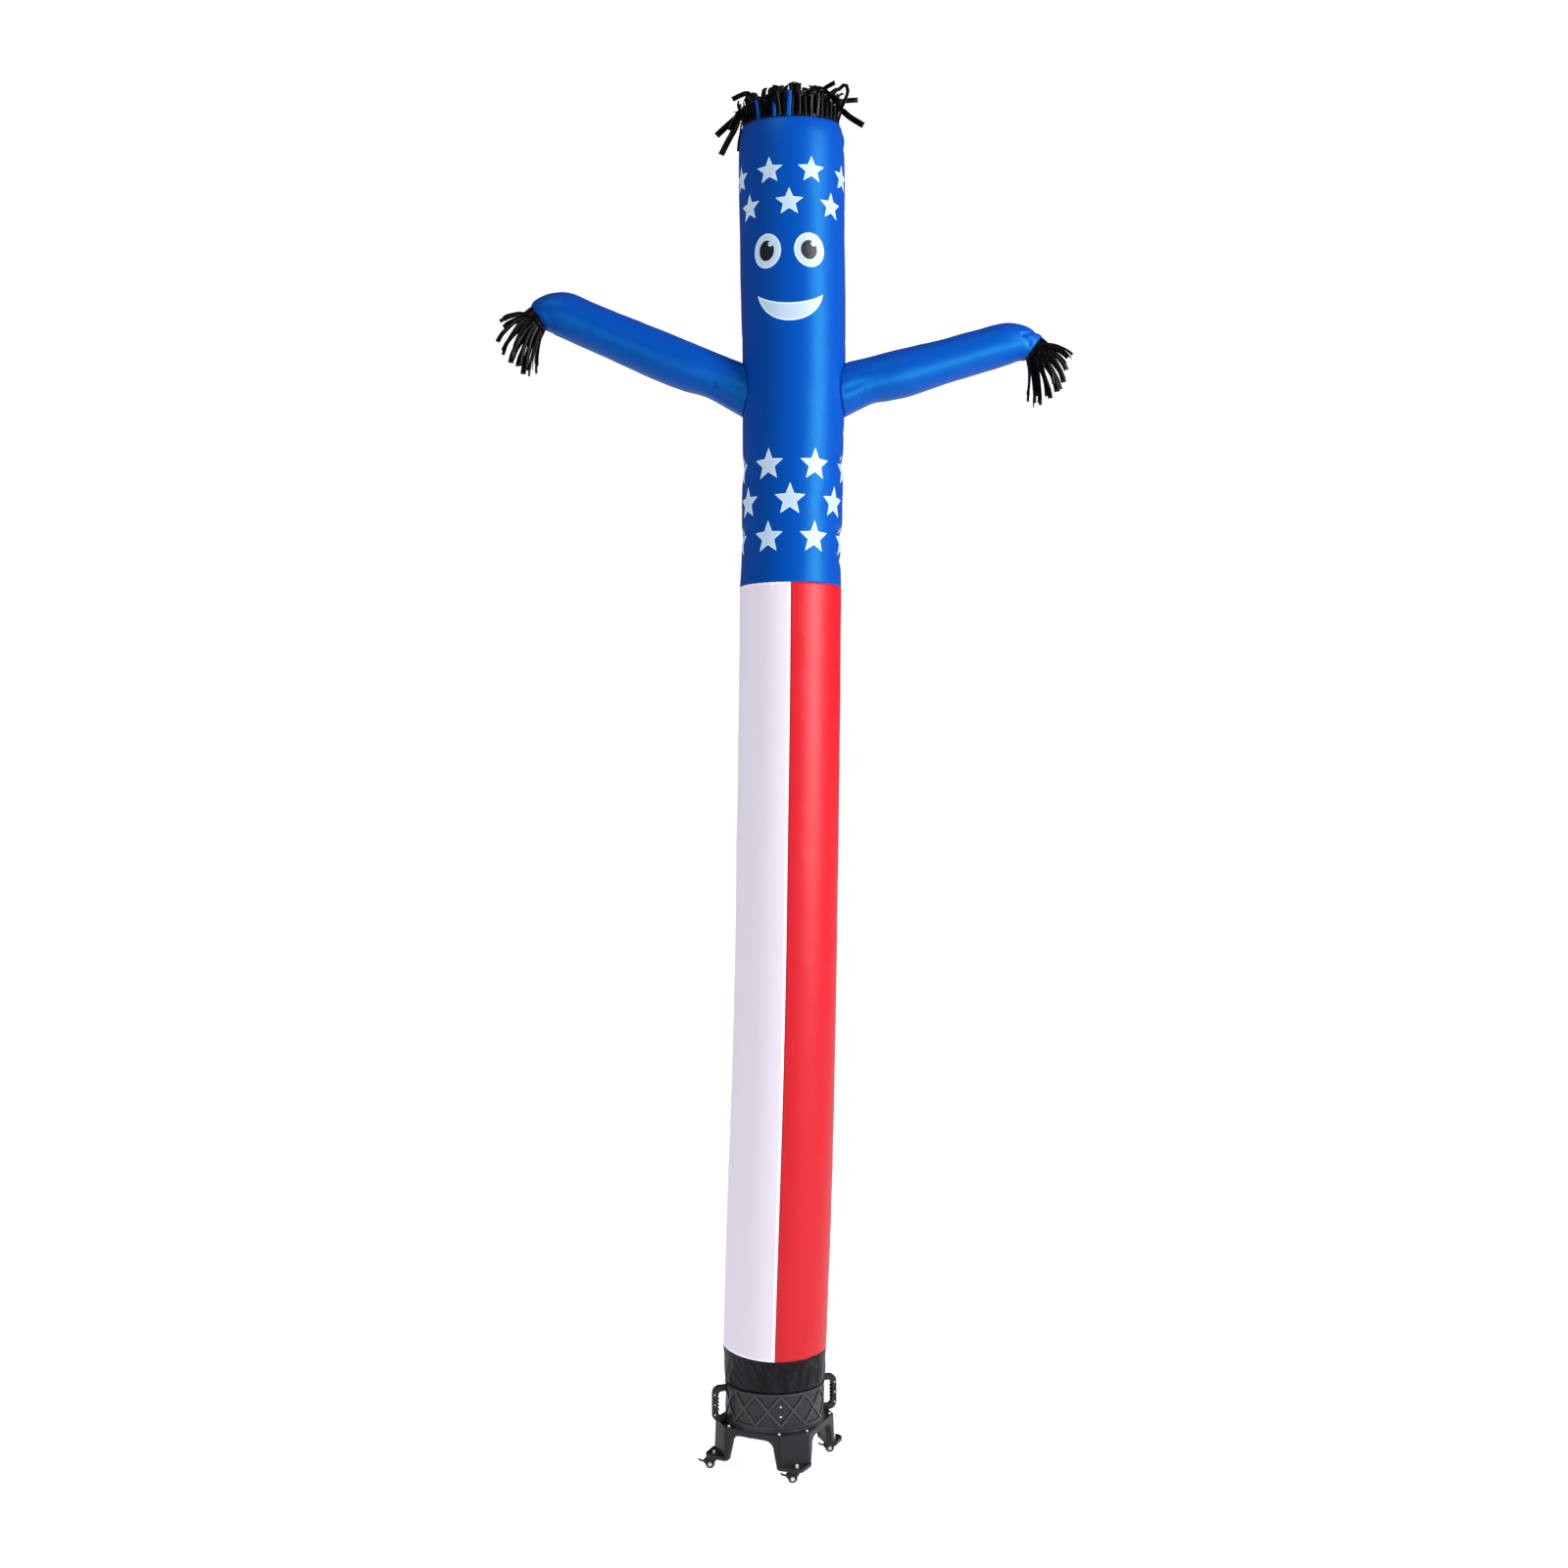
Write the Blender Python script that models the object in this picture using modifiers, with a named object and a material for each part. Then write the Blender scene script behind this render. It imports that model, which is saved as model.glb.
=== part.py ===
"""Inflatable air dancer on its blower stand: a cloth tube with two arms, upright on a moulded blower.

Units are metres, +Z is up, and the origin is on the floor under the middle of the object.
The face and the front seam of the lower panels look along -Y.
"""

from math import cos, exp, pi, radians, sin, sqrt

import bmesh
import bpy
from mathutils import Matrix, Vector

# ---------------------------------------------------------------- driving dimensions
FIT_GAP = 0.0003  # between pieces that touch
SEAM_GAP = 0.0004  # between cloth edges that are sewn together
CLOTH = 0.0011  # thickness of every cloth wall

# The stand's axis lies left of the middle of the arms' span, and its legs point
# along the stand's own X and Y axes, which are turned about the vertical. The ring
# on the stand is turned a little less.
STAND_AXIS_X = -0.041
STAND_TURN = radians(20)
RING_TURN = radians(18.5)
LEGS = {"right": 0, "back": 90, "left": 180, "front": 270}

DECK_TOP = 0.195
DECK_THICK = 0.026  # thick, as the fan's weight sits in the stand
DECK_FACE = 0.254  # from the axis to a leg's flat outer face
DECK_FACE_HALF = 0.064  # half the width of that face at the deck
FOOT_FACE = 0.258
FOOT_FACE_HALF = 0.069
STAND_WALL = 0.026
INLET_RADIUS = 0.160

ARCH_TOP = 0.167
ARCH_CORNER = 0.042
ARCH_HALF_TOP = 0.103  # half the arch's width where its round corners start
ARCH_HALF_FOOT = 0.125

TOE_BOTTOM = 0.052
TOE_TOP = 0.068
TOE_FLOOR = 0.062  # floor of the tray inside the toe's rim
TOE_HALF = 0.076
TOE_TIP = 0.316
TOE_TIP_HALF = 0.013
TOE_RIM = 0.006

STEM_AT = 0.281  # from the stand's axis to a caster's stem
STEM_RADIUS = 0.005
STEM_HOLE = 0.0056
STEM_FOOT = 0.0437

WHEEL_RADIUS = 0.020
WHEEL_HALF = 0.009
WHEEL_SIDES = 20
WHEEL_BORE = 0.0036
TRAIL = 0.018  # from the stem's axis to the wheel's axle
AXLE_RADIUS = 0.0030
FORK_GAP_HALF = 0.0105
FORK_HALF = 0.0130
BRIDGE_BOTTOM = 0.0432

LEVER_PIVOT_BACK = 0.0415  # from the stem's axis
LEVER_PIVOT_UP = 0.030
LEVER_PIN = 0.0016
LEVER_BORE = 0.0020
LEVER_BARREL = 0.0034
LEVER_HALF = 0.008
LEVER_THICK = 0.003

RING_RADIUS = 0.219
RING_INNER = 0.211
RING_TOP = 0.358
RING_SIDES = 48
LATTICE_LOW = 0.222
LATTICE_HIGH = 0.336
LATTICE_ROWS = 4
CROSSES = 12
RIB_HALF = 0.0040
RIB_HEIGHT = 0.0040

HANDLE_OUT = 0.2870
HANDLE_LOW = 0.204
HANDLE_HIGH = 0.356
HANDLE_BAR = 0.022
HANDLE_HALF = 0.011
HANDLE_CORNER = 0.034  # outer round corners
GRIP_CORNER = 0.014  # inner round corners
GRIPS = 5  # finger hollows in the grip
GRIP_HIGH = 0.0015  # ridge between two hollows
GRIP_DEEP = 0.0035  # depth of a hollow

BOSS_TURN = 258.75  # round the ring from its own X axis, in degrees
BOSS_HEIGHT = 0.283
BOSS_RADIUS = 0.011
BOSS_THICK = 0.003
SCREW_STEP = 0.021  # from the boss's middle to each of its screws
SCREW_RADIUS = 0.0045

BOLT_OUT = 0.235
BOLT_ACROSS = 0.064
BOLT_RADIUS = 0.006

BODY_SIDES = 36
SLEEVE_SIDES = 48
ARM_SIDES = 16
SLEEVE_TOP = 0.4950
PANEL_TOP = 3.8600
MOUTH_HEIGHT = 5.905
MOUTH_DIP = 0.030  # how much the head's rim tips down to the front
DIP_FROM = 5.35  # where the head starts to tip

# The body from the sleeve's top seam to the head's rim.
# height, middle in X, radius
BODY = (
    (0.495, -0.041, 0.2275),
    (0.800, -0.032, 0.2300),
    (1.260, -0.017, 0.2310),
    (1.690, -0.004, 0.2275),
    (2.200, 0.008, 0.2255),
    (2.750, 0.016, 0.2250),
    (3.300, 0.024, 0.2240),
    (3.860, 0.029, 0.2235),
    (4.020, 0.032, 0.2195),
    (4.140, 0.035, 0.2225),
    (4.450, 0.040, 0.2235),
    (4.870, 0.044, 0.2280),
    (5.160, 0.040, 0.2320),
    (5.420, 0.036, 0.2325),
    (5.700, 0.034, 0.2345),
    (5.820, 0.033, 0.2325),
    (5.875, 0.032, 0.2240),
    (5.905, 0.031, 0.2135),
)

# The sleeve, from the seam down into the ring.
# height, middle in X, radius, depth of its gathers
SLEEVE = (
    (0.4950, -0.041, 0.2275, 0.0000),
    (0.4550, -0.041, 0.2255, 0.0012),
    (0.4100, -0.041, 0.2195, 0.0022),
    (0.3680, -0.041, 0.2085, 0.0018),
    (0.3300, -0.041, 0.2075, 0.0014),
    (0.1956, -0.041, 0.2075, 0.0014),
)

# Soft dents pressed into the blue tube where the cloth wrinkles.
# direction round the tube in degrees, height, depth, half width in degrees, half height
DENTS = (
    (-8, 4.41, 0.0070, 22, 0.040),
    (-4, 4.09, 0.0080, 26, 0.034),
    (-14, 3.98, 0.0055, 20, 0.030),
    (184, 4.38, 0.0075, 24, 0.045),
    (188, 4.09, 0.0060, 20, 0.036),
    (-42, 4.20, 0.0045, 16, 0.060),
    (40, 4.30, 0.0050, 24, 0.060),
    (130, 4.15, 0.0050, 24, 0.050),
    (70, 5.10, 0.0045, 22, 0.060),
)

# Each arm's sections past its root seam, from the body out to the cuff.
# middle in X, height, radius across, slope of the arm in degrees (up is positive)
LEFT_ARM = (
    (-0.2930, 4.7930, 0.0985, 23),
    (-0.4080, 4.8336, 0.1045, 22),
    (-0.5080, 4.8727, 0.1060, 23),
    (-0.6944, 4.9520, 0.1020, 23),
    (-0.8680, 5.0260, 0.0985, 22),
    (-0.9700, 5.0640, 0.0915, 14),
    (-1.0300, 5.0770, 0.0800, -10),
    (-1.0625, 5.0713, 0.0655, -33),
    (-1.0860, 5.0560, 0.0625, -33),
)
RIGHT_ARM = (
    (0.3600, 4.7680, 0.0940, 16),
    (0.4400, 4.7890, 0.0985, 15),
    (0.5295, 4.8099, 0.1007, 16),
    (0.6944, 4.8598, 0.0965, 17),
    (0.8680, 4.9106, 0.0933, 15),
    (0.9766, 4.9380, 0.0895, 7),
    (1.0480, 4.9440, 0.0780, -14),
    (1.0819, 4.9385, 0.0660, -36),
    (1.1046, 4.9220, 0.0632, -36),
)
ARM_ROOT_HEIGHT = 4.738
ARM_ROOT_UP = 0.118
ARM_ROOT_DOWN = 0.120
ARM_ROOT_ACROSS = 0.104
ARM_HOLE = 0.86  # the hole in the body's wall, as a share of the root

STRIP = 0.0012
HAIR_STRIPS = 44
HAIR_WIDTH = 0.018
HAIR_BAND = 0.022
HAIR_STEPS = 4
HAND_STRIPS = 14
HAND_WIDTH = 0.015
HAND_STEPS = 5

# The hands' black band, from inside the cuff outward.
# step forward, turn down from the cuff's own slope in degrees, growth of the radius
HAND_BAND = (
    (-0.016, 0, 0.0),
    (0.020, 0, 0.0),
    (0.026, 8, 0.0015),
    (0.026, 22, 0.0030),
)

# Most hair strips stand up from the rim and curl a little.
# direction in degrees, length, lean at the root, bend to the tip (outward is positive)
HAIR = (
    (-90, 0.130, -2, 22),
    (-45, 0.132, 1, 30),
    (0, 0.132, 0, 26),
    (45, 0.130, -5, 10),
    (90, 0.128, -4, 14),
    (135, 0.130, -2, 18),
    (180, 0.134, 2, 28),
    (225, 0.132, 1, 32),
    (270, 0.130, -2, 22),
)
# A few longer ones flop over at the sides.
# direction in degrees, length, lean at the root, bend to the tip
HAIR_FLOPS = (
    (164, 0.155, 18, 66),
    (180, 0.185, 10, 140),
    (196, 0.175, 20, 100),
    (221, 0.170, -8, 104),
    (-33, 0.160, 2, 70),
    (-16, 0.165, 20, 96),
    (0, 0.150, 8, 80),
    (25, 0.160, 6, 120),
    (118, 0.160, 2, 110),
    (70, 0.160, 0, 100),
)


# ---------------------------------------------------------------- colours
COLOURS = {
    # name: colour as shown, roughness, metallic
    "black_plastic": ("#3A3C42", 0.45, 0.0),
    "chrome_parts": ("#D8D8D8", 0.15, 1.0),
    "wheel_rubber": ("#2A2B2E", 0.60, 0.0),
    "blue_cloth": ("#0A55BE", 0.50, 0.0),
    "white_cloth": ("#E3DAEA", 0.55, 0.0),
    "red_cloth": ("#E3101F", 0.50, 0.0),
    "black_satin": ("#241E28", 0.35, 0.0),
    "black_strips": ("#0A0B10", 0.22, 0.0),
}


def linear(level):
    """One sRGB channel as a linear value."""
    return level / 12.92 if level <= 0.04045 else ((level + 0.055) / 1.055) ** 2.4


def make_material(name):
    colour, roughness, metallic = COLOURS[name]
    channels = [linear(int(colour[start : start + 2], 16) / 255) for start in (1, 3, 5)]
    made = bpy.data.materials.new(name)
    made.use_nodes = True
    shader = made.node_tree.nodes["Principled BSDF"]
    shader.inputs["Base Color"].default_value = (*channels, 1)
    shader.inputs["Roughness"].default_value = roughness
    shader.inputs["Metallic"].default_value = metallic
    made.diffuse_color = (*channels, 1)
    return made


# ---------------------------------------------------------------- scene helpers
def clear_scene():
    for old in list(bpy.data.objects):
        bpy.data.objects.remove(old, do_unlink=True)


def new_collection(name):
    made = bpy.data.collections.new(name)
    bpy.context.scene.collection.children.link(made)
    return made


def mesh_of(bm, name):
    """Closes off a bmesh: merged points, outward faces, smooth shading with sharp edges kept."""
    bmesh.ops.remove_doubles(bm, verts=bm.verts, dist=1e-6)
    bmesh.ops.recalc_face_normals(bm, faces=bm.faces)
    mesh = bpy.data.meshes.new(name)
    bm.to_mesh(mesh)
    bm.free()
    mesh.shade_smooth()
    mesh.set_sharp_from_angle(angle=radians(35))
    return mesh


def add_piece(name, mesh, material, parent=None, at=(0, 0, 0), turn=0.0):
    """One visible object, which is one sub-part."""
    if not mesh.materials:
        mesh.materials.append(MATERIALS[material])
    made = bpy.data.objects.new(name, mesh)
    PARTS.objects.link(made)
    made.parent = parent
    made.location = at
    made.rotation_euler = (0, 0, turn)
    return made


def add_cutter(name, mesh, parent=None):
    made = bpy.data.objects.new(name, mesh)
    CUTTERS.objects.link(made)
    made.parent = parent
    made.hide_render = True
    made.display_type = "WIRE"
    return made


def add_empty(name, parent=None, at=(0, 0, 0), turn=0.0):
    made = bpy.data.objects.new(name, None)
    PARTS.objects.link(made)
    made.parent = parent
    made.location = at
    made.rotation_euler = (0, 0, turn)
    made.empty_display_size = 0.05
    return made


def boolean(target, other, operation):
    modifier = target.modifiers.new(f"{operation.lower()} {other.name}", "BOOLEAN")
    modifier.operation = operation
    modifier.solver = "EXACT"
    modifier.object = other


def solidify(target, thickness=CLOTH):
    """Gives a sheet its thickness, inward from the outer face that was drawn."""
    modifier = target.modifiers.new("cloth thickness", "SOLIDIFY")
    modifier.thickness = thickness
    modifier.offset = -1
    modifier.use_even_offset = True


def baked(target, name):
    """The evaluated mesh of an object, to be shared by its copies."""
    bpy.context.view_layer.update()
    graph = bpy.context.evaluated_depsgraph_get()
    mesh = bpy.data.meshes.new_from_object(target.evaluated_get(graph))
    mesh.name = name
    return mesh


# ---------------------------------------------------------------- shape helpers
def loft(rings, capped=True, closed_round=True):
    """A bmesh skin through rings of points; each ring has the same number of points."""
    bm = bmesh.new()
    rows = [[bm.verts.new(point) for point in ring] for ring in rings]
    count = len(rows[0])
    last = count if closed_round else count - 1
    for low, high in zip(rows, rows[1:]):
        for i in range(last):
            j = (i + 1) % count
            bm.faces.new((low[i], low[j], high[j], high[i]))
    if capped:
        bm.faces.new(rows[0][::-1])
        bm.faces.new(rows[-1])
    return bm


def prism(outline, low, high):
    """A flat outline of (x, y) points, raised from low to high."""
    return loft([[(x, y, height) for x, y in outline] for height in (low, high)])


def side_prism(outline, half):
    """A flat outline of (x, z) points in the XZ plane, from y = -half to y = half."""
    return loft([[(x, y, z) for x, z in outline] for y in (-half, half)])


def cylinder(radius, low, high, sides, axis="Z", centre=(0, 0)):
    """A round bar between two places on its axis."""
    bm = bmesh.new()
    bmesh.ops.create_cone(
        bm,
        cap_ends=True,
        segments=sides,
        radius1=radius,
        radius2=radius,
        depth=high - low,
    )
    middle = (low + high) / 2
    if axis == "Z":
        move = Matrix.Translation((centre[0], centre[1], middle))
    else:
        move = Matrix.Translation((centre[0], middle, centre[1]))
        move = move @ Matrix.Rotation(pi / 2, 4, "X")
    bm.transform(move)
    return bm


def spun(profile, sides, axis="Z", first=0.0):
    """A closed or pole-to-pole (radius, height) profile turned all the way round an axis."""
    rings = []
    for i in range(sides):
        angle = first + 2 * pi * i / sides
        if axis == "Z":
            rings.append([(r * cos(angle), r * sin(angle), h) for r, h in profile])
        else:
            rings.append([(r * sin(angle), h, r * cos(angle)) for r, h in profile])
    rings.append(rings[0])
    return loft(rings, capped=False)


def arc(centre, radius, start, end, steps):
    """Points on an arc, angles in degrees."""
    turns = [radians(start + (end - start) * i / steps) for i in range(steps + 1)]
    return [(centre[0] + radius * cos(a), centre[1] + radius * sin(a)) for a in turns]


def joined(shapes):
    """Several bmeshes as one, still separate bodies."""
    whole = bmesh.new()
    for shape in shapes:
        piece = bpy.data.meshes.new("piece")
        shape.to_mesh(piece)
        shape.free()
        whole.from_mesh(piece)
        bpy.data.meshes.remove(piece)
    return whole


def read_table(table, height):
    """The columns of a table at a height, joined smoothly through its rows."""
    rows = sorted(table)
    if height <= rows[0][0]:
        return rows[0][1:]
    if height >= rows[-1][0]:
        return rows[-1][1:]
    i = max(k for k, row in enumerate(rows) if row[0] <= height)
    below, above = rows[i], rows[i + 1]
    before = rows[max(i - 1, 0)]
    after = rows[min(i + 2, len(rows) - 1)]
    span = above[0] - below[0]
    t = (height - below[0]) / span
    found = []
    for c in range(1, len(below)):
        slope_in = (above[c] - before[c]) / max(above[0] - before[0], 1e-9) * span
        slope_out = (after[c] - below[c]) / max(after[0] - below[0], 1e-9) * span
        found.append(
            below[c] * (2 * t**3 - 3 * t**2 + 1)
            + slope_in * (t**3 - 2 * t**2 + t)
            + above[c] * (3 * t**2 - 2 * t**3)
            + slope_out * (t**3 - t**2)
        )
    return found


# ---------------------------------------------------------------- the moulded stand
def eight_sides(face, half, lift=0.0):
    """The square deck with its corners cut off: a flat face on each leg."""
    corners = []
    for quarter in range(4):
        turn = Matrix.Rotation(quarter * pi / 2, 2)
        corners += [turn @ Vector((face + lift, -half)), turn @ Vector((face + lift, half))]
    return [tuple(corner) for corner in corners]


def toe_outline(inset=0.0):
    """One toe seen from above, pointing along +X."""
    base = DECK_FACE - STAND_WALL / 2
    wide = TOE_HALF - inset * 1.4
    tip = TOE_TIP - inset
    tip_half = TOE_TIP_HALF - inset * 0.4
    front = DECK_FACE + 0.006 + inset
    right = [(front, -wide), (tip, -tip_half)]
    left = [(x, -y) for x, y in reversed(right)]
    if inset:
        return right + left
    root = DECK_FACE_HALF - 0.004
    return [(base, -root)] + right + left + [(base, root)]


def four_ways(make_shape):
    """A shape made once for each leg and turned to it."""
    shapes = []
    for degrees in LEGS.values():
        shape = make_shape()
        shape.transform(Matrix.Rotation(radians(degrees), 4, "Z"))
        shapes.append(shape)
    return shapes


def arch_outline():
    """The arch between two legs, as (across, height) points, open below the feet."""
    below = TOE_BOTTOM - 0.02
    middle = (ARCH_HALF_TOP - ARCH_CORNER, ARCH_TOP - ARCH_CORNER)
    right = [(ARCH_HALF_FOOT, below)] + arc(middle, ARCH_CORNER, 0, 90, 5)
    return right + [(-x, z) for x, z in reversed(right)]


def make_stand():
    outside = loft(
        [
            [(x, y, TOE_BOTTOM) for x, y in eight_sides(FOOT_FACE, FOOT_FACE_HALF)],
            [(x, y, DECK_TOP) for x, y in eight_sides(DECK_FACE, DECK_FACE_HALF)],
        ]
    )
    stand = add_piece("stand", mesh_of(outside, "stand"), "black_plastic", STAND_AXIS)

    narrower = STAND_WALL * (sqrt(2) - 1)
    pocket = prism(
        eight_sides(DECK_FACE, DECK_FACE_HALF - narrower, -STAND_WALL),
        TOE_BOTTOM - 0.02,
        DECK_TOP - DECK_THICK,
    )
    arches = []
    for degrees in (45, 135):
        through = side_prism(arch_outline(), 0.5)
        through.transform(Matrix.Rotation(radians(degrees), 4, "Z"))
        arches.append(through)
    inlet = cylinder(INLET_RADIUS, DECK_TOP - 0.04, DECK_TOP + 0.01, 36)
    toes = joined(four_ways(lambda: prism(toe_outline(), TOE_BOTTOM, TOE_TOP)))
    trays = four_ways(lambda: prism(toe_outline(TOE_RIM), TOE_FLOOR, TOE_TOP + 0.01))
    holes = four_ways(
        lambda: cylinder(STEM_HOLE, TOE_BOTTOM - 0.01, TOE_TOP, 12, centre=(STEM_AT, 0))
    )
    steps = (
        ("inside of stand", pocket, "DIFFERENCE"),
        ("arch one way", arches[0], "DIFFERENCE"),
        ("arch other way", arches[1], "DIFFERENCE"),
        ("toes", toes, "UNION"),
        ("air inlet", inlet, "DIFFERENCE"),
        ("toe trays", joined(trays), "DIFFERENCE"),
        ("stem holes", joined(holes), "DIFFERENCE"),
    )
    for name, shape, operation in steps:
        boolean(stand, add_cutter(name, mesh_of(shape, name), STAND_AXIS), operation)


def dome(radius, height, foot, sides):
    """A low round head standing on the height foot."""
    profile = [
        (0, foot),
        (radius, foot),
        (radius, foot + height * 0.45),
        (radius * 0.68, foot + height * 0.86),
        (0, foot + height),
    ]
    return spun(profile, sides)


def make_deck_bolts():
    mesh = mesh_of(dome(BOLT_RADIUS, 0.006, DECK_TOP + FIT_GAP, 8), "deck_bolt")
    number = 0
    for degrees in LEGS.values():
        for side in (-1, 1):
            number += 1
            at = Matrix.Rotation(radians(degrees), 3, "Z") @ Vector(
                (BOLT_OUT, side * BOLT_ACROSS, 0)
            )
            add_piece(f"deck_bolt_{number}", mesh, "chrome_parts", STAND_AXIS, at)


# ---------------------------------------------------------------- the blower ring
def ring_outline():
    """The ring's wall, all the way round its section, as (radius, height)."""
    foot = DECK_TOP + FIT_GAP
    side = RING_RADIUS / cos(pi / RING_SIDES)
    step = (LATTICE_HIGH - LATTICE_LOW) / LATTICE_ROWS
    lattice = [(side, LATTICE_LOW + step * i) for i in range(LATTICE_ROWS + 1)]
    lip = side + 0.002
    return (
        [(RING_INNER, foot), (side + 0.004, foot), (side + 0.004, foot + 0.006)]
        + [(side, foot + 0.008)]
        + lattice
        + [(lip, LATTICE_HIGH + 0.004), (lip, RING_TOP - 0.003), (side - 0.001, RING_TOP)]
        + [(RING_INNER, RING_TOP)]
    )


def lattice_panels(bm, first):
    """Splits the lattice band along its crossing ribs and gathers the sunk panels.

    Each rib runs one twelfth of the way round from the band's bottom to its top, so it
    crosses one corner-to-corner quad in each row.
    """
    bm.verts.ensure_lookup_table()
    pitch = 2 * pi / RING_SIDES
    row_height = (LATTICE_HIGH - LATTICE_LOW) / LATTICE_ROWS
    columns = RING_SIDES // CROSSES
    panels = {}
    for face in list(bm.faces):
        middle = face.calc_center_median()
        outside = Vector((middle.x, middle.y)).length > RING_RADIUS - 0.003
        if not (outside and LATTICE_LOW < middle.z < LATTICE_HIGH):
            continue
        angle = (Vector((middle.x, middle.y)).angle_signed(Vector((1, 0))) - first) % (2 * pi)
        column = int(angle / pitch)
        cell, inside = divmod(column, columns)
        row = int((middle.z - LATTICE_LOW) / row_height)
        corners = sorted(
            face.verts,
            key=lambda v: (round(v.co.z, 4), (v.co.xy.angle_signed(Vector((1, 0))) - first) % (2 * pi)),
        )
        rising = inside == row
        falling = inside == columns - 1 - row
        if rising or falling:
            wrap = column == RING_SIDES - 1
            low = corners[:2][::-1] if wrap else corners[:2]
            high = corners[2:][::-1] if wrap else corners[2:]
            ends = (low[0], high[1]) if rising else (low[1], high[0])
            other = bmesh.utils.face_split(face, *ends)[0]
            pieces = (face, other)
        else:
            pieces = (face,)
        for piece in pieces:
            spot = piece.calc_center_median()
            turned = (spot.xy.angle_signed(Vector((1, 0))) - first) % (2 * pi)
            along = turned / pitch - cell * columns - columns / 2
            up = (spot.z - LATTICE_LOW) / row_height - LATTICE_ROWS / 2
            if abs(up) > abs(along):
                key = ("high" if up > 0 else "low", cell)
            else:
                key = ("side", (cell + (1 if along > 0 else 0)) % CROSSES)
            panels.setdefault(key, []).append(piece)
    return panels


def make_ring():
    first = pi / RING_SIDES  # a flat facet faces each leg
    bm = spun(ring_outline(), RING_SIDES, first=first)
    bmesh.ops.remove_doubles(bm, verts=bm.verts, dist=1e-6)
    bmesh.ops.recalc_face_normals(bm, faces=bm.faces)
    for panel in lattice_panels(bm, first - pi / CROSSES).values():
        bmesh.ops.inset_region(
            bm,
            faces=panel,
            thickness=RIB_HALF,
            depth=-RIB_HEIGHT,
            use_even_offset=True,
            use_boundary=True,
        )
    add_piece("blower_ring", mesh_of(bm, "blower_ring"), "black_plastic", RING_AXIS)


def handle_outline():
    """The handle from the side, as (outward, height), open towards the ring."""
    root = RING_RADIUS + 0.002 + FIT_GAP
    foot_root = RING_RADIUS + 0.0045 + FIT_GAP
    outer_low = (HANDLE_OUT - HANDLE_CORNER, HANDLE_LOW + HANDLE_CORNER)
    outer_high = (HANDLE_OUT - HANDLE_CORNER, HANDLE_HIGH - HANDLE_CORNER)
    grip = HANDLE_OUT - HANDLE_BAR
    inner_low = (grip - GRIP_CORNER, HANDLE_LOW + HANDLE_BAR + GRIP_CORNER)
    inner_high = (grip - GRIP_CORNER, HANDLE_HIGH - HANDLE_BAR - GRIP_CORNER)
    points = [(foot_root, HANDLE_LOW)]
    points += arc(outer_low, HANDLE_CORNER, -90, 0, 5)
    points += arc(outer_high, HANDLE_CORNER, 0, 90, 5)
    points += [(root, HANDLE_HIGH), (root, HANDLE_HIGH - HANDLE_BAR)]
    points += arc(inner_high, GRIP_CORNER, 90, 0, 3)
    span = inner_high[1] - inner_low[1]
    for i in range(1, 2 * GRIPS):
        height = inner_high[1] - span * i / (2 * GRIPS)
        points.append((grip + (GRIP_HIGH if i % 2 else -GRIP_DEEP), height))
    points += arc(inner_low, GRIP_CORNER, 0, -90, 3)
    points.append((foot_root, HANDLE_LOW + HANDLE_BAR))
    return points


def make_handles():
    mesh = mesh_of(side_prism(handle_outline(), HANDLE_HALF), "handle")
    for side in ("left", "right"):
        turn = radians(LEGS[side])
        add_piece(f"handle_{side}", mesh, "black_plastic", RING_AXIS, turn=turn)


def make_boss():
    """The plain boss in the front panel and the two screws beside it."""
    seat = RING_RADIUS / cos(pi / RING_SIDES) - RIB_HEIGHT + FIT_GAP
    facing = radians(BOSS_TURN)
    lay_out = Matrix.Rotation(facing, 4, "Z") @ Matrix.Rotation(pi / 2, 4, "Y")
    pieces = (
        ("ring_boss", BOSS_RADIUS, BOSS_THICK, 16, 0.0, "black_plastic"),
        ("boss_screw_upper", SCREW_RADIUS, 0.003, 8, SCREW_STEP, "chrome_parts"),
        ("boss_screw_lower", SCREW_RADIUS, 0.003, 8, -SCREW_STEP, "chrome_parts"),
    )
    for name, radius, height, sides, step, material in pieces:
        bm = dome(radius, height, 0, sides)
        outward = Matrix.Translation(
            (seat * cos(facing), seat * sin(facing), BOSS_HEIGHT + step)
        )
        bm.transform(outward @ lay_out)
        add_piece(name, mesh_of(bm, name), material, RING_AXIS)


# ---------------------------------------------------------------- the casters
def make_stem():
    nut_foot = TOE_FLOOR + FIT_GAP
    profile = [
        (0, STEM_FOOT),
        (STEM_RADIUS, STEM_FOOT),
        (STEM_RADIUS, nut_foot),
        (0.0085, nut_foot),
        (0.0085, nut_foot + 0.008),
        (0.0062, nut_foot + 0.014),
        (0, nut_foot + 0.017),
    ]
    return mesh_of(spun(profile, 12), "caster_stem")


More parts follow.
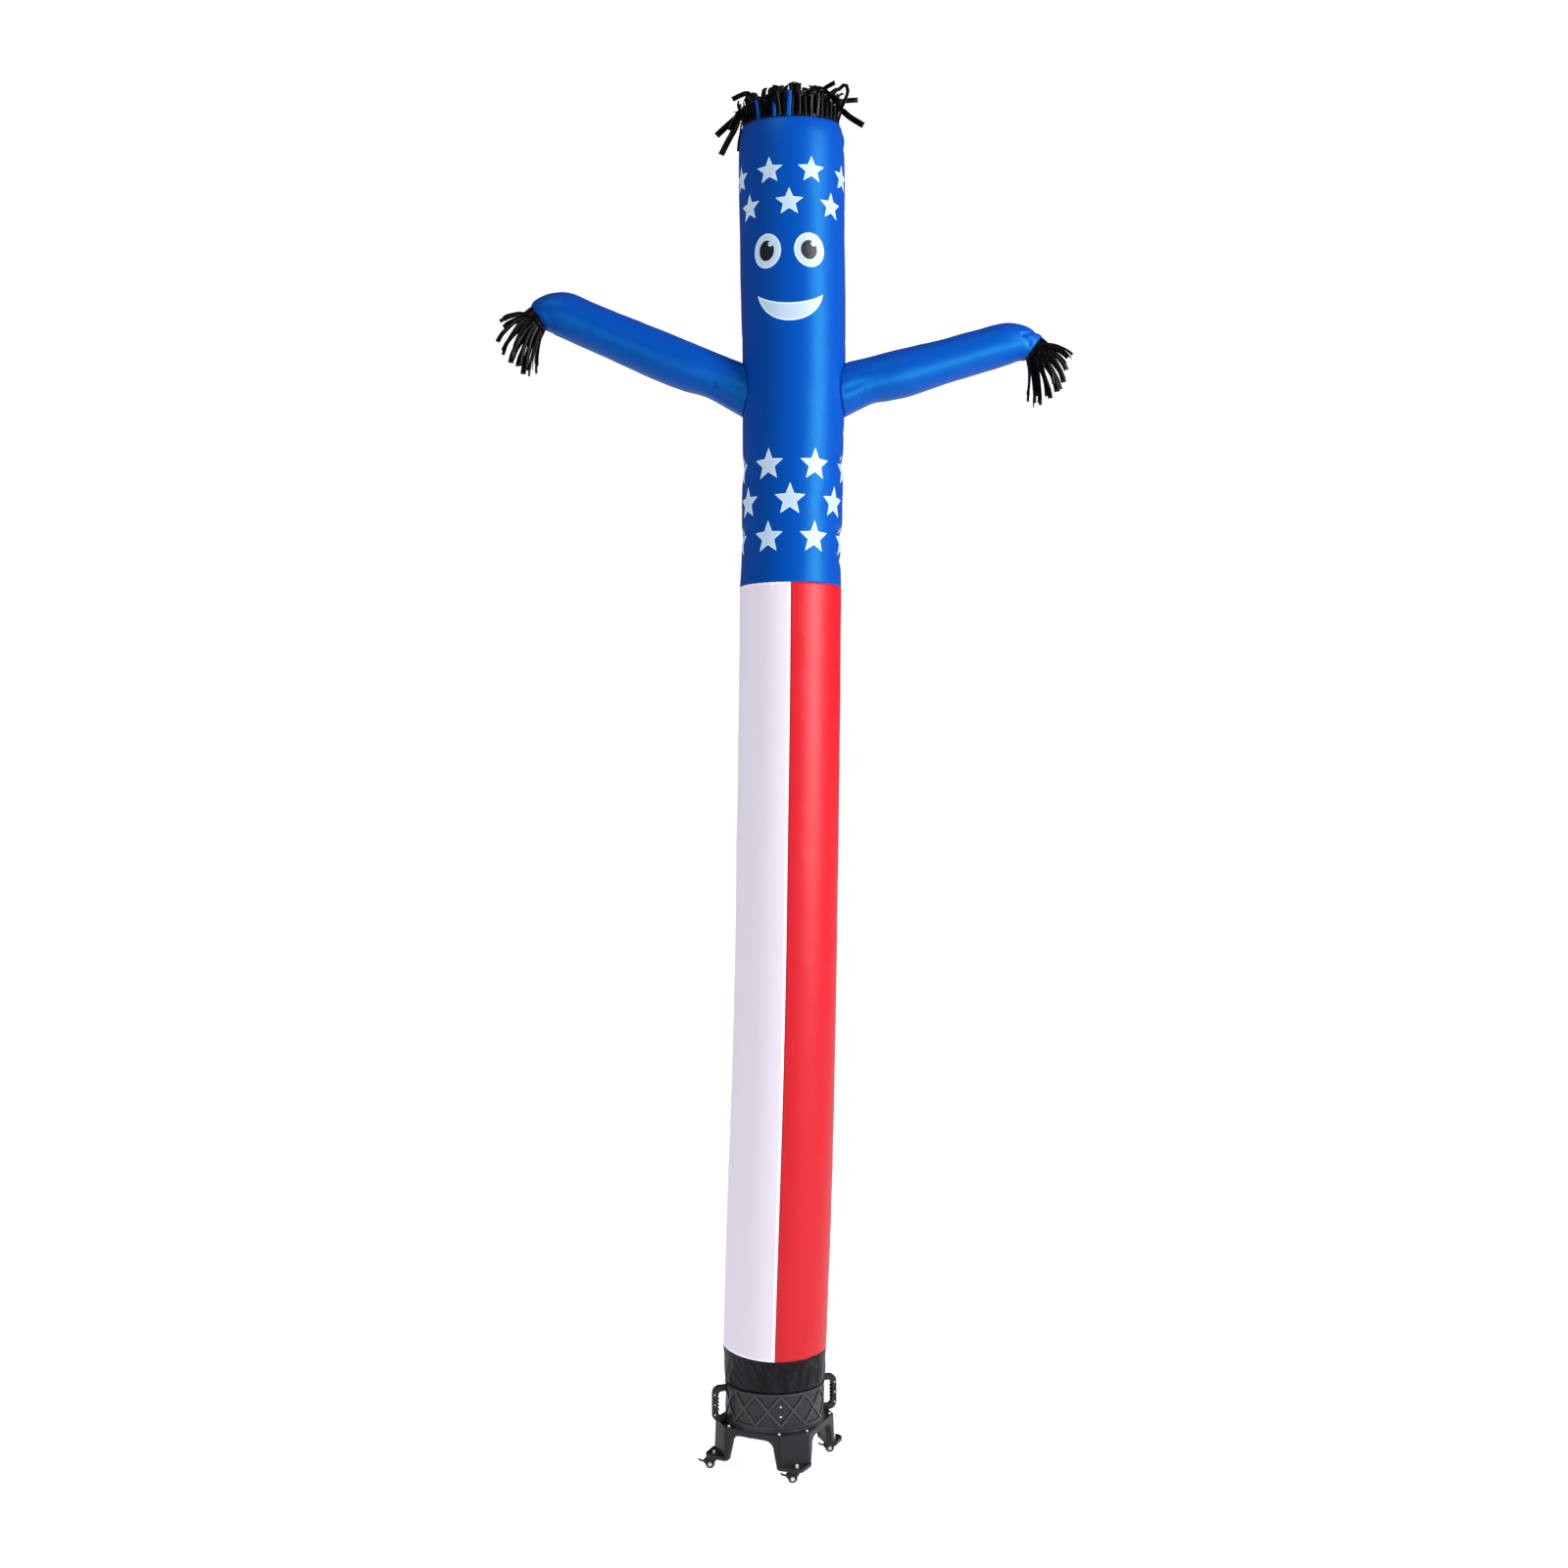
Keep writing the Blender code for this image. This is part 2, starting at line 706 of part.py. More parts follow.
def make_fork():
    """Bridge, two cheeks, axle and the lever's pin, in one moulding; +X trails."""
    top = TOE_BOTTOM - FIT_GAP
    side = [
        (-0.012, top),
        (-0.012, 0.040),
        (0.0095, 0.0150),
        (0.0180, 0.0118),
        (0.0265, 0.0150),
        (0.0455, 0.0255),
        (0.0470, 0.0330),
        (0.0300, top),
    ]
    holder = add_cutter("fork shape", mesh_of(side_prism(side, FORK_HALF), "fork"))
    slot = [(-0.03, 0), (0.06, 0), (0.06, 0.06), (0.0285, 0.06), (0.0285, BRIDGE_BOTTOM)]
    slot += [(-0.03, BRIDGE_BOTTOM)]
    pin_reach = (FORK_GAP_HALF + FORK_HALF) / 2
    bars = joined(
        [
            cylinder(AXLE_RADIUS, -pin_reach, pin_reach, 12, "Y", (TRAIL, WHEEL_RADIUS)),
            cylinder(
                LEVER_PIN, -pin_reach, pin_reach, 8, "Y", (LEVER_PIVOT_BACK, LEVER_PIVOT_UP)
            ),
        ]
    )
    hole = cylinder(STEM_HOLE, BRIDGE_BOTTOM - 0.01, top + 0.01, 12)
    steps = (
        ("wheel slot", side_prism(slot, FORK_GAP_HALF), "DIFFERENCE"),
        ("axle and pin", bars, "UNION"),
        ("fork stem hole", hole, "DIFFERENCE"),
    )
    for name, shape, operation in steps:
        boolean(holder, add_cutter(name, mesh_of(shape, name)), operation)
    return baked(holder, "caster_fork")


def make_wheel():
    """The wheel about its own axle, along Y; its outer facets are flats."""
    tread = WHEEL_RADIUS / cos(pi / WHEEL_SIDES)
    profile = [
        (WHEEL_BORE, -WHEEL_HALF),
        (tread - 0.002, -WHEEL_HALF),
        (tread, -WHEEL_HALF + 0.002),
        (tread, WHEEL_HALF - 0.002),
        (tread - 0.002, WHEEL_HALF),
        (WHEEL_BORE, WHEEL_HALF),
    ]
    return mesh_of(spun(profile, WHEEL_SIDES, "Y", pi / WHEEL_SIDES), "caster_wheel")


def make_lever():
    """The brake lever about its own pivot, along Y; its tread points along +X."""
    # outward, up: the middle line of the lever's tread
    spine = ((0.0024, 0.0), (0.009, 0.0012), (0.018, 0.0030), (0.024, 0.0062), (0.028, 0.0105))
    rings = []
    for i, (x, z) in enumerate(spine):
        ahead = spine[min(i + 1, len(spine) - 1)]
        behind = spine[max(i - 1, 0)]
        along = Vector((ahead[0] - behind[0], ahead[1] - behind[1])).normalized()
        up = Vector((-along.y, along.x)) * LEVER_THICK / 2
        corners = ((-1, -1), (1, -1), (1, 1), (-1, 1))
        rings.append([(x + s * up.x, t * LEVER_HALF, z + s * up.y) for s, t in corners])
    holder = add_cutter("lever shape", mesh_of(loft(rings), "lever"))
    barrel = cylinder(LEVER_BARREL, -LEVER_HALF, LEVER_HALF, 12, "Y")
    bore = cylinder(LEVER_BORE, -0.02, 0.02, 12, "Y")
    for name, shape, operation in (
        ("lever barrel", barrel, "UNION"),
        ("lever bore", bore, "DIFFERENCE"),
    ):
        boolean(holder, add_cutter(name, mesh_of(shape, name)), operation)
    return baked(holder, "brake_lever")


def make_casters():
    """Four casters, all trailing towards -X; each turns about its stem's axis."""
    stem, fork, wheel, lever = make_stem(), make_fork(), make_wheel(), make_lever()
    for side, degrees in LEGS.items():
        at = Matrix.Rotation(radians(degrees), 3, "Z") @ Vector((STEM_AT, 0, 0))
        swivel = add_empty(f"swivel {side}", STAND_AXIS, at, pi - STAND_TURN)
        add_piece(f"caster_stem_{side}", stem, "chrome_parts", swivel)
        add_piece(f"caster_fork_{side}", fork, "black_plastic", swivel)
        add_piece(f"caster_wheel_{side}", wheel, "wheel_rubber", swivel, (TRAIL, 0, WHEEL_RADIUS))
        pivot = (LEVER_PIVOT_BACK, 0, LEVER_PIVOT_UP)
        add_piece(f"brake_lever_{side}", lever, "black_plastic", swivel, pivot)


# ---------------------------------------------------------------- the cloth body
def dent_at(degrees, height):
    """How deep the wrinkles press the tube in at one place."""
    depth = 0.0
    for direction, middle, deepest, half_turn, half_height in DENTS:
        turn = (degrees - direction + 180) % 360 - 180
        depth += deepest * exp(-((turn / half_turn) ** 2) - ((height - middle) / half_height) ** 2)
    return depth


def body_point(degrees, height, grow=0.0):
    """A point on the outer face of the body; the head's rim dips to the front."""
    middle, radius = read_table(BODY, height)
    radius += grow - dent_at(degrees, height)
    turn = radians(degrees)
    nod = MOUTH_DIP * max(0.0, (height - DIP_FROM) / (MOUTH_HEIGHT - DIP_FROM)) ** 2
    return Vector((middle + radius * cos(turn), radius * sin(turn), height + nod * sin(turn)))


def heights_between(low, high, steps):
    return [low + (high - low) * i / steps for i in range(steps + 1)]


def make_panels():
    """Four long quarters of the lower body, with a seam at the front centre."""
    quarters = (
        ("panel_red_front", "red_cloth", -90),
        ("panel_white_back", "white_cloth", 0),
        ("panel_red_back", "red_cloth", 90),
        ("panel_white_front", "white_cloth", 180),
    )
    radius = BODY[0][2]
    edge = SEAM_GAP / 2 / radius * 180 / pi
    sides = BODY_SIDES // 4
    heights = heights_between(SLEEVE_TOP + SEAM_GAP, PANEL_TOP - SEAM_GAP, 9)
    for name, colour, start in quarters:
        turns = [start + 90 * i / sides for i in range(sides + 1)]
        turns[0] += edge
        turns[-1] -= edge
        rings = [[body_point(turn, height) for turn in turns] for height in heights]
        bm = loft(rings, capped=False, closed_round=False)
        panel = add_piece(name, mesh_of(bm, name), colour)
        face_out(panel.data)
        solidify(panel)


def body_axis(spot):
    return Vector((read_table(BODY, spot.z)[0], 0, spot.z))


def face_out(mesh, axis_of=body_axis):
    """Turns a sheet so that its normals leave its axis."""
    bm = bmesh.new()
    bm.from_mesh(mesh)
    outward = 0.0
    for face in bm.faces:
        middle = face.calc_center_median()
        outward += face.normal.dot(middle - axis_of(middle))
    if outward < 0:
        bmesh.ops.reverse_faces(bm, faces=bm.faces)
    bm.to_mesh(mesh)
    bm.free()


def make_sleeve():
    """The black sleeve, gathered where it goes down inside the ring."""
    rings = []
    for height, middle, radius, gather in SLEEVE:
        ring = []
        for i in range(SLEEVE_SIDES):
            turn = 2 * pi * i / SLEEVE_SIDES
            wave = sin(11 * turn) * 0.6 + sin(17 * turn + 1.3) * 0.4
            out = radius + gather * wave
            ring.append((middle + out * cos(turn), out * sin(turn), height))
        rings.append(ring)
    sleeve = add_piece("sleeve", mesh_of(loft(rings, capped=False), "sleeve"), "black_satin")
    face_out(sleeve.data)
    solidify(sleeve)


def arm_hole(side):
    """A cutter through the body's wall where an arm opens into it."""
    rings = []
    inside_wall, outside_wall = 0.10, 0.32
    for x in (inside_wall, outside_wall):
        ring = []
        for i in range(ARM_SIDES):
            turn = 2 * pi * i / ARM_SIDES
            reach = ARM_ROOT_UP if sin(turn) > 0 else ARM_ROOT_DOWN
            across = ARM_HOLE * ARM_ROOT_ACROSS * cos(turn)
            up = ARM_HOLE * reach * sin(turn)
            ring.append((side * x, across, ARM_ROOT_HEIGHT + up))
        rings.append(ring)
    return loft(rings)


def make_body_tube():
    """The blue tube; its sections stand closer together at the wrinkles and the rim."""
    heights = [PANEL_TOP, 3.97, 4.03, 4.09, 4.17, 4.25, 4.33, 4.39, 4.47, 4.62, 4.78, 4.94]
    heights += [5.10, 5.26, 5.46, 5.64, 5.76, 5.83, 5.88, MOUTH_HEIGHT]
    turns = [360 * i / BODY_SIDES for i in range(BODY_SIDES)]
    rings = [[body_point(turn, height) for turn in turns] for height in heights]
    bm = loft(rings, capped=False)
    tube = add_piece("body_tube", mesh_of(bm, "body_tube"), "blue_cloth")
    face_out(tube.data)
    solidify(tube)
    for name, side in (("left arm hole", -1), ("right arm hole", 1)):
        boolean(tube, add_cutter(name, mesh_of(arm_hole(side), name)), "DIFFERENCE")


# ---------------------------------------------------------------- the arms
def arm_root(side):
    """The flared end of an arm, on the body's round wall."""
    ring = []
    for i in range(ARM_SIDES):
        turn = 2 * pi * i / ARM_SIDES
        reach = ARM_ROOT_UP if sin(turn) > 0 else ARM_ROOT_DOWN
        height = ARM_ROOT_HEIGHT + reach * sin(turn)
        across = ARM_ROOT_ACROSS * cos(turn)
        middle, radius = read_table(BODY, height)
        wall = radius + 3 * SEAM_GAP
        out = sqrt(wall**2 - across**2)
        ring.append(Vector((middle + side * out, across, height)))
    return ring


def arm_section(x, height, radius, slope, side):
    """A round section square to the arm."""
    lean = radians(slope) * side
    up = Vector((-sin(lean), 0, cos(lean)))
    across = Vector((0, 1, 0))
    centre = Vector((x, 0, height))
    ring = []
    for i in range(ARM_SIDES):
        turn = 2 * pi * i / ARM_SIDES
        ring.append(centre + radius * (cos(turn) * across + sin(turn) * up))
    return ring


def make_arm(name, table, side):
    rings = [arm_root(side)]
    rings += [arm_section(*row, side) for row in table]
    bm = loft(rings, capped=False)
    arm = add_piece(name, mesh_of(bm, name), "blue_cloth")
    middles = [(sum(ring, Vector()) / ARM_SIDES) for ring in rings]
    face_out(arm.data, lambda spot: min(middles, key=lambda m: (m - spot).length))
    solidify(arm)


# ---------------------------------------------------------------- fringes
def fringe(band_point, stations, count, width_share, path_of):
    """A narrow band, cut into strips past its far edge, in one body.

    band_point(turn, station, inside) is a point on the band's outer or inner face.
    width_share is the part of each pitch that a strip takes. path_of(index) gives each
    strip's centre, half width and half thickness, step by step from the band's edge.
    """
    turns = []
    for i in range(count):
        middle = 2 * pi * i / count
        half = pi / count * width_share
        turns += [middle - half, middle + half]
    bm = bmesh.new()
    # Round each section: out along the outer face, then back along the inner one.
    walk = [(station, 0) for station in range(stations)]
    walk += [(station, 1) for station in reversed(range(stations))]
    rows = [[bm.verts.new(band_point(turn, *spot)) for spot in walk] for turn in turns]
    for i, row in enumerate(rows):
        after = rows[(i + 1) % len(rows)]
        for j in range(len(walk)):
            k = (j + 1) % len(walk)
            corners = (row[j], after[j], after[k], row[k])
            if j == stations - 1 and i % 2 == 0:
                add_strip(bm, corners, path_of(i // 2))
            else:
                bm.faces.new(corners)
    return bm


def add_strip(bm, corners, path):
    """Carries one face of the band's edge along a path and closes its far end."""
    below = corners
    for centre, wide, thick in path:
        signs = ((-1, 1), (1, 1), (1, -1), (-1, -1))
        above = [bm.verts.new(centre + s * wide + t * thick) for s, t in signs]
        for j in range(4):
            k = (j + 1) % 4
            bm.faces.new((below[j], below[k], above[k], above[j]))
        below = above
    bm.faces.new(below)


def hair_habit(index):
    """Length, lean at the root and bend of one hair strip, in metres and degrees."""
    degrees = 360 * index / HAIR_STRIPS
    for direction, *habit in HAIR_FLOPS:
        if round(direction % 360 * HAIR_STRIPS / 360) % HAIR_STRIPS == index:
            return habit
    length, lean, bend = read_table(HAIR, (degrees + 90) % 360 - 90)
    length *= 1 + 0.07 * sin(index * 2.4) + 0.04 * sin(index * 5.1 + 1)
    bend += 26 * sin(index * 3.7 + 0.5)
    lean += 3.5 * sin(index * 1.9)
    return length, lean, bend


def make_hair():
    """Black strips round the inside of the head's rim; they stand up and flop over."""
    middle_x, rim = read_table(BODY, MOUTH_HEIGHT)
    outer = (rim - CLOTH) * cos(pi / BODY_SIDES) - 2 * FIT_GAP
    inner = outer - STRIP
    low = MOUTH_HEIGHT - 0.004

    def place(turn, radius, height):
        nod = MOUTH_DIP * sin(turn)
        return Vector((middle_x + radius * cos(turn), radius * sin(turn), height + nod))

    def band_point(turn, station, inside):
        return place(turn, (outer, inner)[inside], low + HAIR_BAND * station)

    def path_of(index):
        turn = 2 * pi * index / HAIR_STRIPS
        length, lean, bend = hair_habit(index)
        radial = Vector((cos(turn), sin(turn), 0))
        side = Vector((-sin(turn), cos(turn), 0))
        centre = place(turn, (outer + inner) / 2, low + HAIR_BAND)
        rows = []
        for step in range(1, HAIR_STEPS + 1):
            angle = radians(lean + bend * (step / HAIR_STEPS) ** 1.3)
            along = radial * sin(angle) + Vector((0, 0, 1)) * cos(angle)
            centre = centre + along * length / HAIR_STEPS
            thick = radial * cos(angle) - Vector((0, 0, 1)) * sin(angle)
            rows.append((centre, side * HAIR_WIDTH / 2, thick * STRIP / 2))
        return rows

    width_share = HAIR_WIDTH / (2 * pi * outer / HAIR_STRIPS)
    bm = fringe(band_point, 2, HAIR_STRIPS, width_share, path_of)
    add_piece("hair", mesh_of(bm, "hair"), "black_strips")


def make_hand(name, table, side, reach, hang):
    """A black band out of a cuff, cut into strips: the top ones reach on, the rest hang."""
    x, height, radius, slope = table[-1]
    outer = (radius - CLOTH) * cos(pi / ARM_SIDES) - 2 * FIT_GAP
    across = Vector((0, 1, 0))

    def heading(drop):
        """Forward and upward directions, drop degrees below the level."""
        angle = radians(drop)
        forward = Vector((side * cos(angle), 0, -sin(angle)))
        return forward, Vector((side * sin(angle), 0, cos(angle)))

    stations = []
    centre = Vector((x, 0, height))
    for step, turned, grow in HAND_BAND:
        forward, up = heading(turned - slope)
        centre = centre + forward * step
        stations.append((centre, up, outer + grow))

    def band_point(turn, station, inside):
        middle, up, ring_radius = stations[station]
        return middle + (ring_radius - STRIP * inside) * (cos(turn) * up + sin(turn) * across)

    def path_of(index):
        turn = 2 * pi * index / HAND_STRIPS
        first = HAND_BAND[-1][1] - slope
        last = 90 - 33 * (cos(turn) + 1) + 11 * sin(index * 2.2 + side)
        long = hang + (reach - hang) * (cos(turn) + 1) / 2
        long *= 1 + 0.08 * sin(index * 2.9 + side)
        up = stations[-1][1]
        radial = cos(turn) * up + sin(turn) * across
        tangent = -sin(turn) * up + cos(turn) * across
        spot = band_point(turn, len(stations) - 1, 0.5)
        rows = []
        for step in range(1, HAND_STEPS + 1):
            share = step / HAND_STEPS
            forward = heading(first + (last - first) * share**0.7)[0]
            along = (forward + across * 0.16 * sin(turn) * (1 - 0.7 * share)).normalized()
            spot = spot + along * long / HAND_STEPS
            wide = (tangent - along * tangent.dot(along)).normalized()
            thick = wide.cross(along)
            if thick.dot(radial) < 0:
                thick = -thick
            rows.append((spot, wide * HAND_WIDTH / 2, thick * STRIP / 2))
        return rows

    width_share = HAND_WIDTH / (2 * pi * outer / HAND_STRIPS)
    bm = fringe(band_point, len(stations), HAND_STRIPS, width_share, path_of)
    add_piece(name, mesh_of(bm, name), "black_strips")


# ---------------------------------------------------------------- the whole object
clear_scene()
PARTS = new_collection("air_dancer")
CUTTERS = new_collection("cutters")
MATERIALS = {name: make_material(name) for name in COLOURS}
STAND_AXIS = add_empty("stand axis", at=(STAND_AXIS_X, 0, 0), turn=STAND_TURN)
RING_AXIS = add_empty("ring axis", at=(STAND_AXIS_X, 0, 0), turn=RING_TURN)

make_stand()
make_deck_bolts()
make_ring()
make_handles()
make_boss()
make_casters()
make_sleeve()
make_panels()
make_body_tube()
make_arm("arm_left", LEFT_ARM, -1)
make_arm("arm_right", RIGHT_ARM, 1)
make_hair()
make_hand("hand_left", LEFT_ARM, -1, 0.115, 0.185)
make_hand("hand_right", RIGHT_ARM, 1, 0.081, 0.185)
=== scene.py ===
"""The air dancer's finishes: printed nylon, satin sleeve, glossy strips and moulded blower.

Units are metres, +Z is up, and the face and the front seam of the lower panels look along -Y.
"""

from math import atan, cos, exp, pi, radians, sin, sqrt

import bmesh
import bpy
from mathutils import Matrix, Vector, noise


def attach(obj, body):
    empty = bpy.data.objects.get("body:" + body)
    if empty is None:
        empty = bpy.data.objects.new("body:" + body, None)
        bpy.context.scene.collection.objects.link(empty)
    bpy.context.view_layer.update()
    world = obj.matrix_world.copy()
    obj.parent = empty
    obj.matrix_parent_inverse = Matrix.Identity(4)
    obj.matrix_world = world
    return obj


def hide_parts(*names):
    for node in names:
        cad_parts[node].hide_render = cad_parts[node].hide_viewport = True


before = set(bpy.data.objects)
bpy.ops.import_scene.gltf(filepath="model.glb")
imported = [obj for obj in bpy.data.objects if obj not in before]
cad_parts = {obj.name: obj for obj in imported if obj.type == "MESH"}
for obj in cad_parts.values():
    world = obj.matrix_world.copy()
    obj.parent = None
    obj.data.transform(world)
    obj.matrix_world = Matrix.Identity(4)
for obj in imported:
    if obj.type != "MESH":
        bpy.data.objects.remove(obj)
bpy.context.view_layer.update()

# ---------------------------------------------------------------- sizes of the cloth
CLOTH = 0.0011  # thickness of the coated nylon
SLEEVE_TOP = 0.4950
PANEL_TOP = 3.8600
MOUTH_HEIGHT = 5.898
HEAD_ROLL = 0.005  # how much the rim rises to the right
MOUTH_DIP = 0.030  # how much the head's rim tips down to the front
NOD_FROM = 5.35  # where the head starts to tip
PRINT_RADIUS = 0.230  # the tube's radius where the print was laid out flat
ARC = pi / 180 * PRINT_RADIUS  # metres of cloth for each degree round the tube
SEAM_GAP = 0.0004  # between cloth edges that are sewn together
FIT_GAP = 0.0003  # between pieces that touch
HEM_WIDTH = 0.009  # of the doubled cloth beside a seam
HEM_EDGE = 0.0025
HEM_RISE = 0.0006
THREAD = 0.0003  # height of the threads that show

# The body from the sleeve's top seam to the head's rim: height, middle in X, radius.
BODY = (
    (0.495, -0.041, 0.2275),
    (0.800, -0.032, 0.2300),
    (1.260, -0.017, 0.2310),
    (1.690, -0.004, 0.2275),
    (2.200, 0.008, 0.2255),
    (2.750, 0.016, 0.2250),
    (3.300, 0.024, 0.2240),
    (3.860, 0.029, 0.2235),
    (4.020, 0.032, 0.2195),
    (4.140, 0.035, 0.2225),
    (4.450, 0.040, 0.2235),
    (4.870, 0.044, 0.2280),
    (5.160, 0.040, 0.2320),
    (5.420, 0.036, 0.2325),
    (5.700, 0.034, 0.2345),
    (5.820, 0.033, 0.2325),
    (5.875, 0.032, 0.2240),
    (5.905, 0.031, 0.2135),
)
# Soft dents: direction in degrees, height, depth, half width in degrees, half height.
DENTS = (
    (-8, 4.41, 0.0070, 22, 0.040),
    (-4, 4.09, 0.0080, 26, 0.034),
    (-14, 3.98, 0.0055, 20, 0.030),
    (184, 4.38, 0.0075, 24, 0.045),
    (188, 4.09, 0.0060, 20, 0.036),
    (-42, 4.20, 0.0045, 16, 0.060),
    (40, 4.30, 0.0050, 24, 0.060),
    (130, 4.15, 0.0050, 24, 0.050),
    (70, 5.10, 0.0045, 22, 0.060),
    (-2, 5.838, -0.0040, 15, 0.022),
    (-2, 5.795, 0.0030, 13, 0.018),
)
# Sharp folds in the tube's cloth: two ends as direction in degrees and height, depth at
# the first end, half width.
TUBE_FOLDS = (
    ((4, 4.406), (-44, 4.455), 0.0080, 0.011),
    ((4, 4.088), (-40, 4.118), 0.0110, 0.010),
    ((6, 3.977), (-34, 4.000), 0.0085, 0.010),
    ((-2, 4.235), (-30, 4.200), 0.0035, 0.012),
    ((-176, 4.400), (-140, 4.430), 0.0060, 0.012),
    ((-174, 4.090), (-142, 4.112), 0.0050, 0.011),
    ((-175, 3.975), (-150, 3.990), 0.0040, 0.011),
    ((4, 4.560), (-26, 4.470), 0.0040, 0.013),
    ((4, 4.930), (-30, 5.020), 0.0035, 0.012),
    ((-178, 4.960), (-150, 5.040), 0.0035, 0.012),
    ((-20, 4.640), (-62, 4.560), 0.0025, 0.016),
    ((-160, 4.640), (-118, 4.560), 0.0025, 0.016),
    ((-50, 4.330), (-95, 4.300), 0.0020, 0.014),
)
SLEEVE_MIDDLE = -0.041  # in X, over the middle of the blower
# The sleeve: height, radius, depth of its gathers.
SLEEVE = (
    (0.1956, 0.2075, 0.0014),
    (0.3300, 0.2075, 0.0010),
    (0.3575, 0.2085, 0.0008),
    (0.3640, 0.2170, 0.0016),
    (0.3740, 0.2210, 0.0044),
    (0.4200, 0.2235, 0.0058),
    (0.4600, 0.2250, 0.0036),
    (0.4950, 0.2275, 0.0000),
)
# Each arm past its root: middle in X, height, radius, slope in degrees (up is positive).
LEFT_ARM = (
    (-0.2930, 4.7930, 0.0985, 23),
    (-0.4080, 4.8336, 0.1045, 22),
    (-0.5080, 4.8727, 0.1060, 23),
    (-0.6944, 4.9520, 0.1020, 23),
    (-0.8680, 5.0260, 0.0985, 22),
    (-0.9700, 5.0695, 0.0980, 12),
    (-1.0280, 5.0735, 0.0895, -8),
    (-1.0640, 5.0630, 0.0790, -28),
    (-1.0860, 5.0560, 0.0625, -33),
)
RIGHT_ARM = (
    (0.3600, 4.7745, 0.1005, 16),
    (0.4400, 4.7925, 0.1030, 15),
    (0.5295, 4.8130, 0.1047, 16),
    (0.6944, 4.8598, 0.0965, 17),
    (0.8680, 4.9106, 0.0933, 15),
    (0.9880, 4.9420, 0.0908, 4),
    (1.0480, 4.9430, 0.0800, -13),
    (1.0770, 4.9335, 0.0715, -26),
    (1.1046, 4.9220, 0.0632, -36),
)
# Creases pressed into the arms: side, two ends as (X, Z), depth, half width.
ARM_CREASES = (
    (1, (1.046, 4.966), (1.080, 4.922), 0.0060, 0.0070),
    (1, (1.048, 4.962), (1.116, 4.990), 0.0050, 0.0070),
    (-1, (-1.010, 5.010), (-1.050, 5.060), 0.0022, 0.0100),
    (-1, (-0.287, 4.690), (-0.312, 4.748), 0.0070, 0.0080),
    (1, (0.330, 4.668), (0.352, 4.720), 0.0040, 0.0080),
)
ARM_RADIUS = 0.098  # the mean radius, at which an arm's cloth is laid out flat
# The arms' flared ends on the body: height of the middle, then how far they reach.
ARM_ROOT_HEIGHT = 4.738
ARM_ROOT_UP = 0.118
ARM_ROOT_DOWN = 0.120
ARM_ROOT_ACROSS = 0.104
ARM_HOLE = 0.86  # the hole in the body, as a share of the flared end

# ---------------------------------------------------------------- sizes of the strips
STRIP = 0.0008  # thickness of the coated film
BODY_SIDES = 36  # of the CAD's round sections, whose flat sides the bands lie inside
ARM_SIDES = 16
HAIR_STRIPS = 44  # in each of its two layers
HAIR_WIDTH = 0.029
HAIR_BAND = 0.022  # height of the band that holds the strips
HAND_STRIPS = 14  # in each of its two layers
HAND_WIDTH = 0.024
HAND_BAND_LENGTH = 0.056
HAND_STEPS = 12
FLOP_STEPS = 16
# Where each hand's strips end, from the upper side of the cuff round to its lower side:
# distance out in X from the object's middle, height.
LEFT_TIPS = (
    (1.2505, 5.0554),
    (1.2484, 5.0294),
    (1.2701, 4.9165),
    (1.2314, 4.8774),
    (1.1963, 4.8600),
    (1.1724, 4.7971),
    (1.1333, 4.8166),
    (1.1029, 4.8231),
)
RIGHT_TIPS = (
    (1.2679, 4.8904),
    (1.2592, 4.8687),
    (1.2592, 4.7905),
    (1.2332, 4.7602),
    (1.1963, 4.7150),
    (1.1550, 4.6646),
    (1.1181, 4.6733),
    (1.0790, 4.6929),
)
# The hands' black band: step forward, turn down from the cuff's slope, growth of radius.
HAND_BAND = (
    (-0.016, 0, 0.0),
    (0.016, 0, 0.0),
    (0.016, 6, 0.0010),
    (0.016, 14, 0.0020),
)
# Strips that stand: direction in degrees, length, lean at the root, bend to the tip.
HAIR = (
    (-90, 0.136, -1, 4),
    (-45, 0.130, 0, 8),
    (0, 0.122, -2, 14),
    (45, 0.130, -4, 6),
    (90, 0.136, -3, 4),
    (135, 0.118, 0, 14),
    (180, 0.096, 8, 26),
    (225, 0.112, 6, 26),
    (270, 0.136, -1, 4),
)
HAIR_FOLD = 75  # how far the standing strips' tips fold over, in degrees

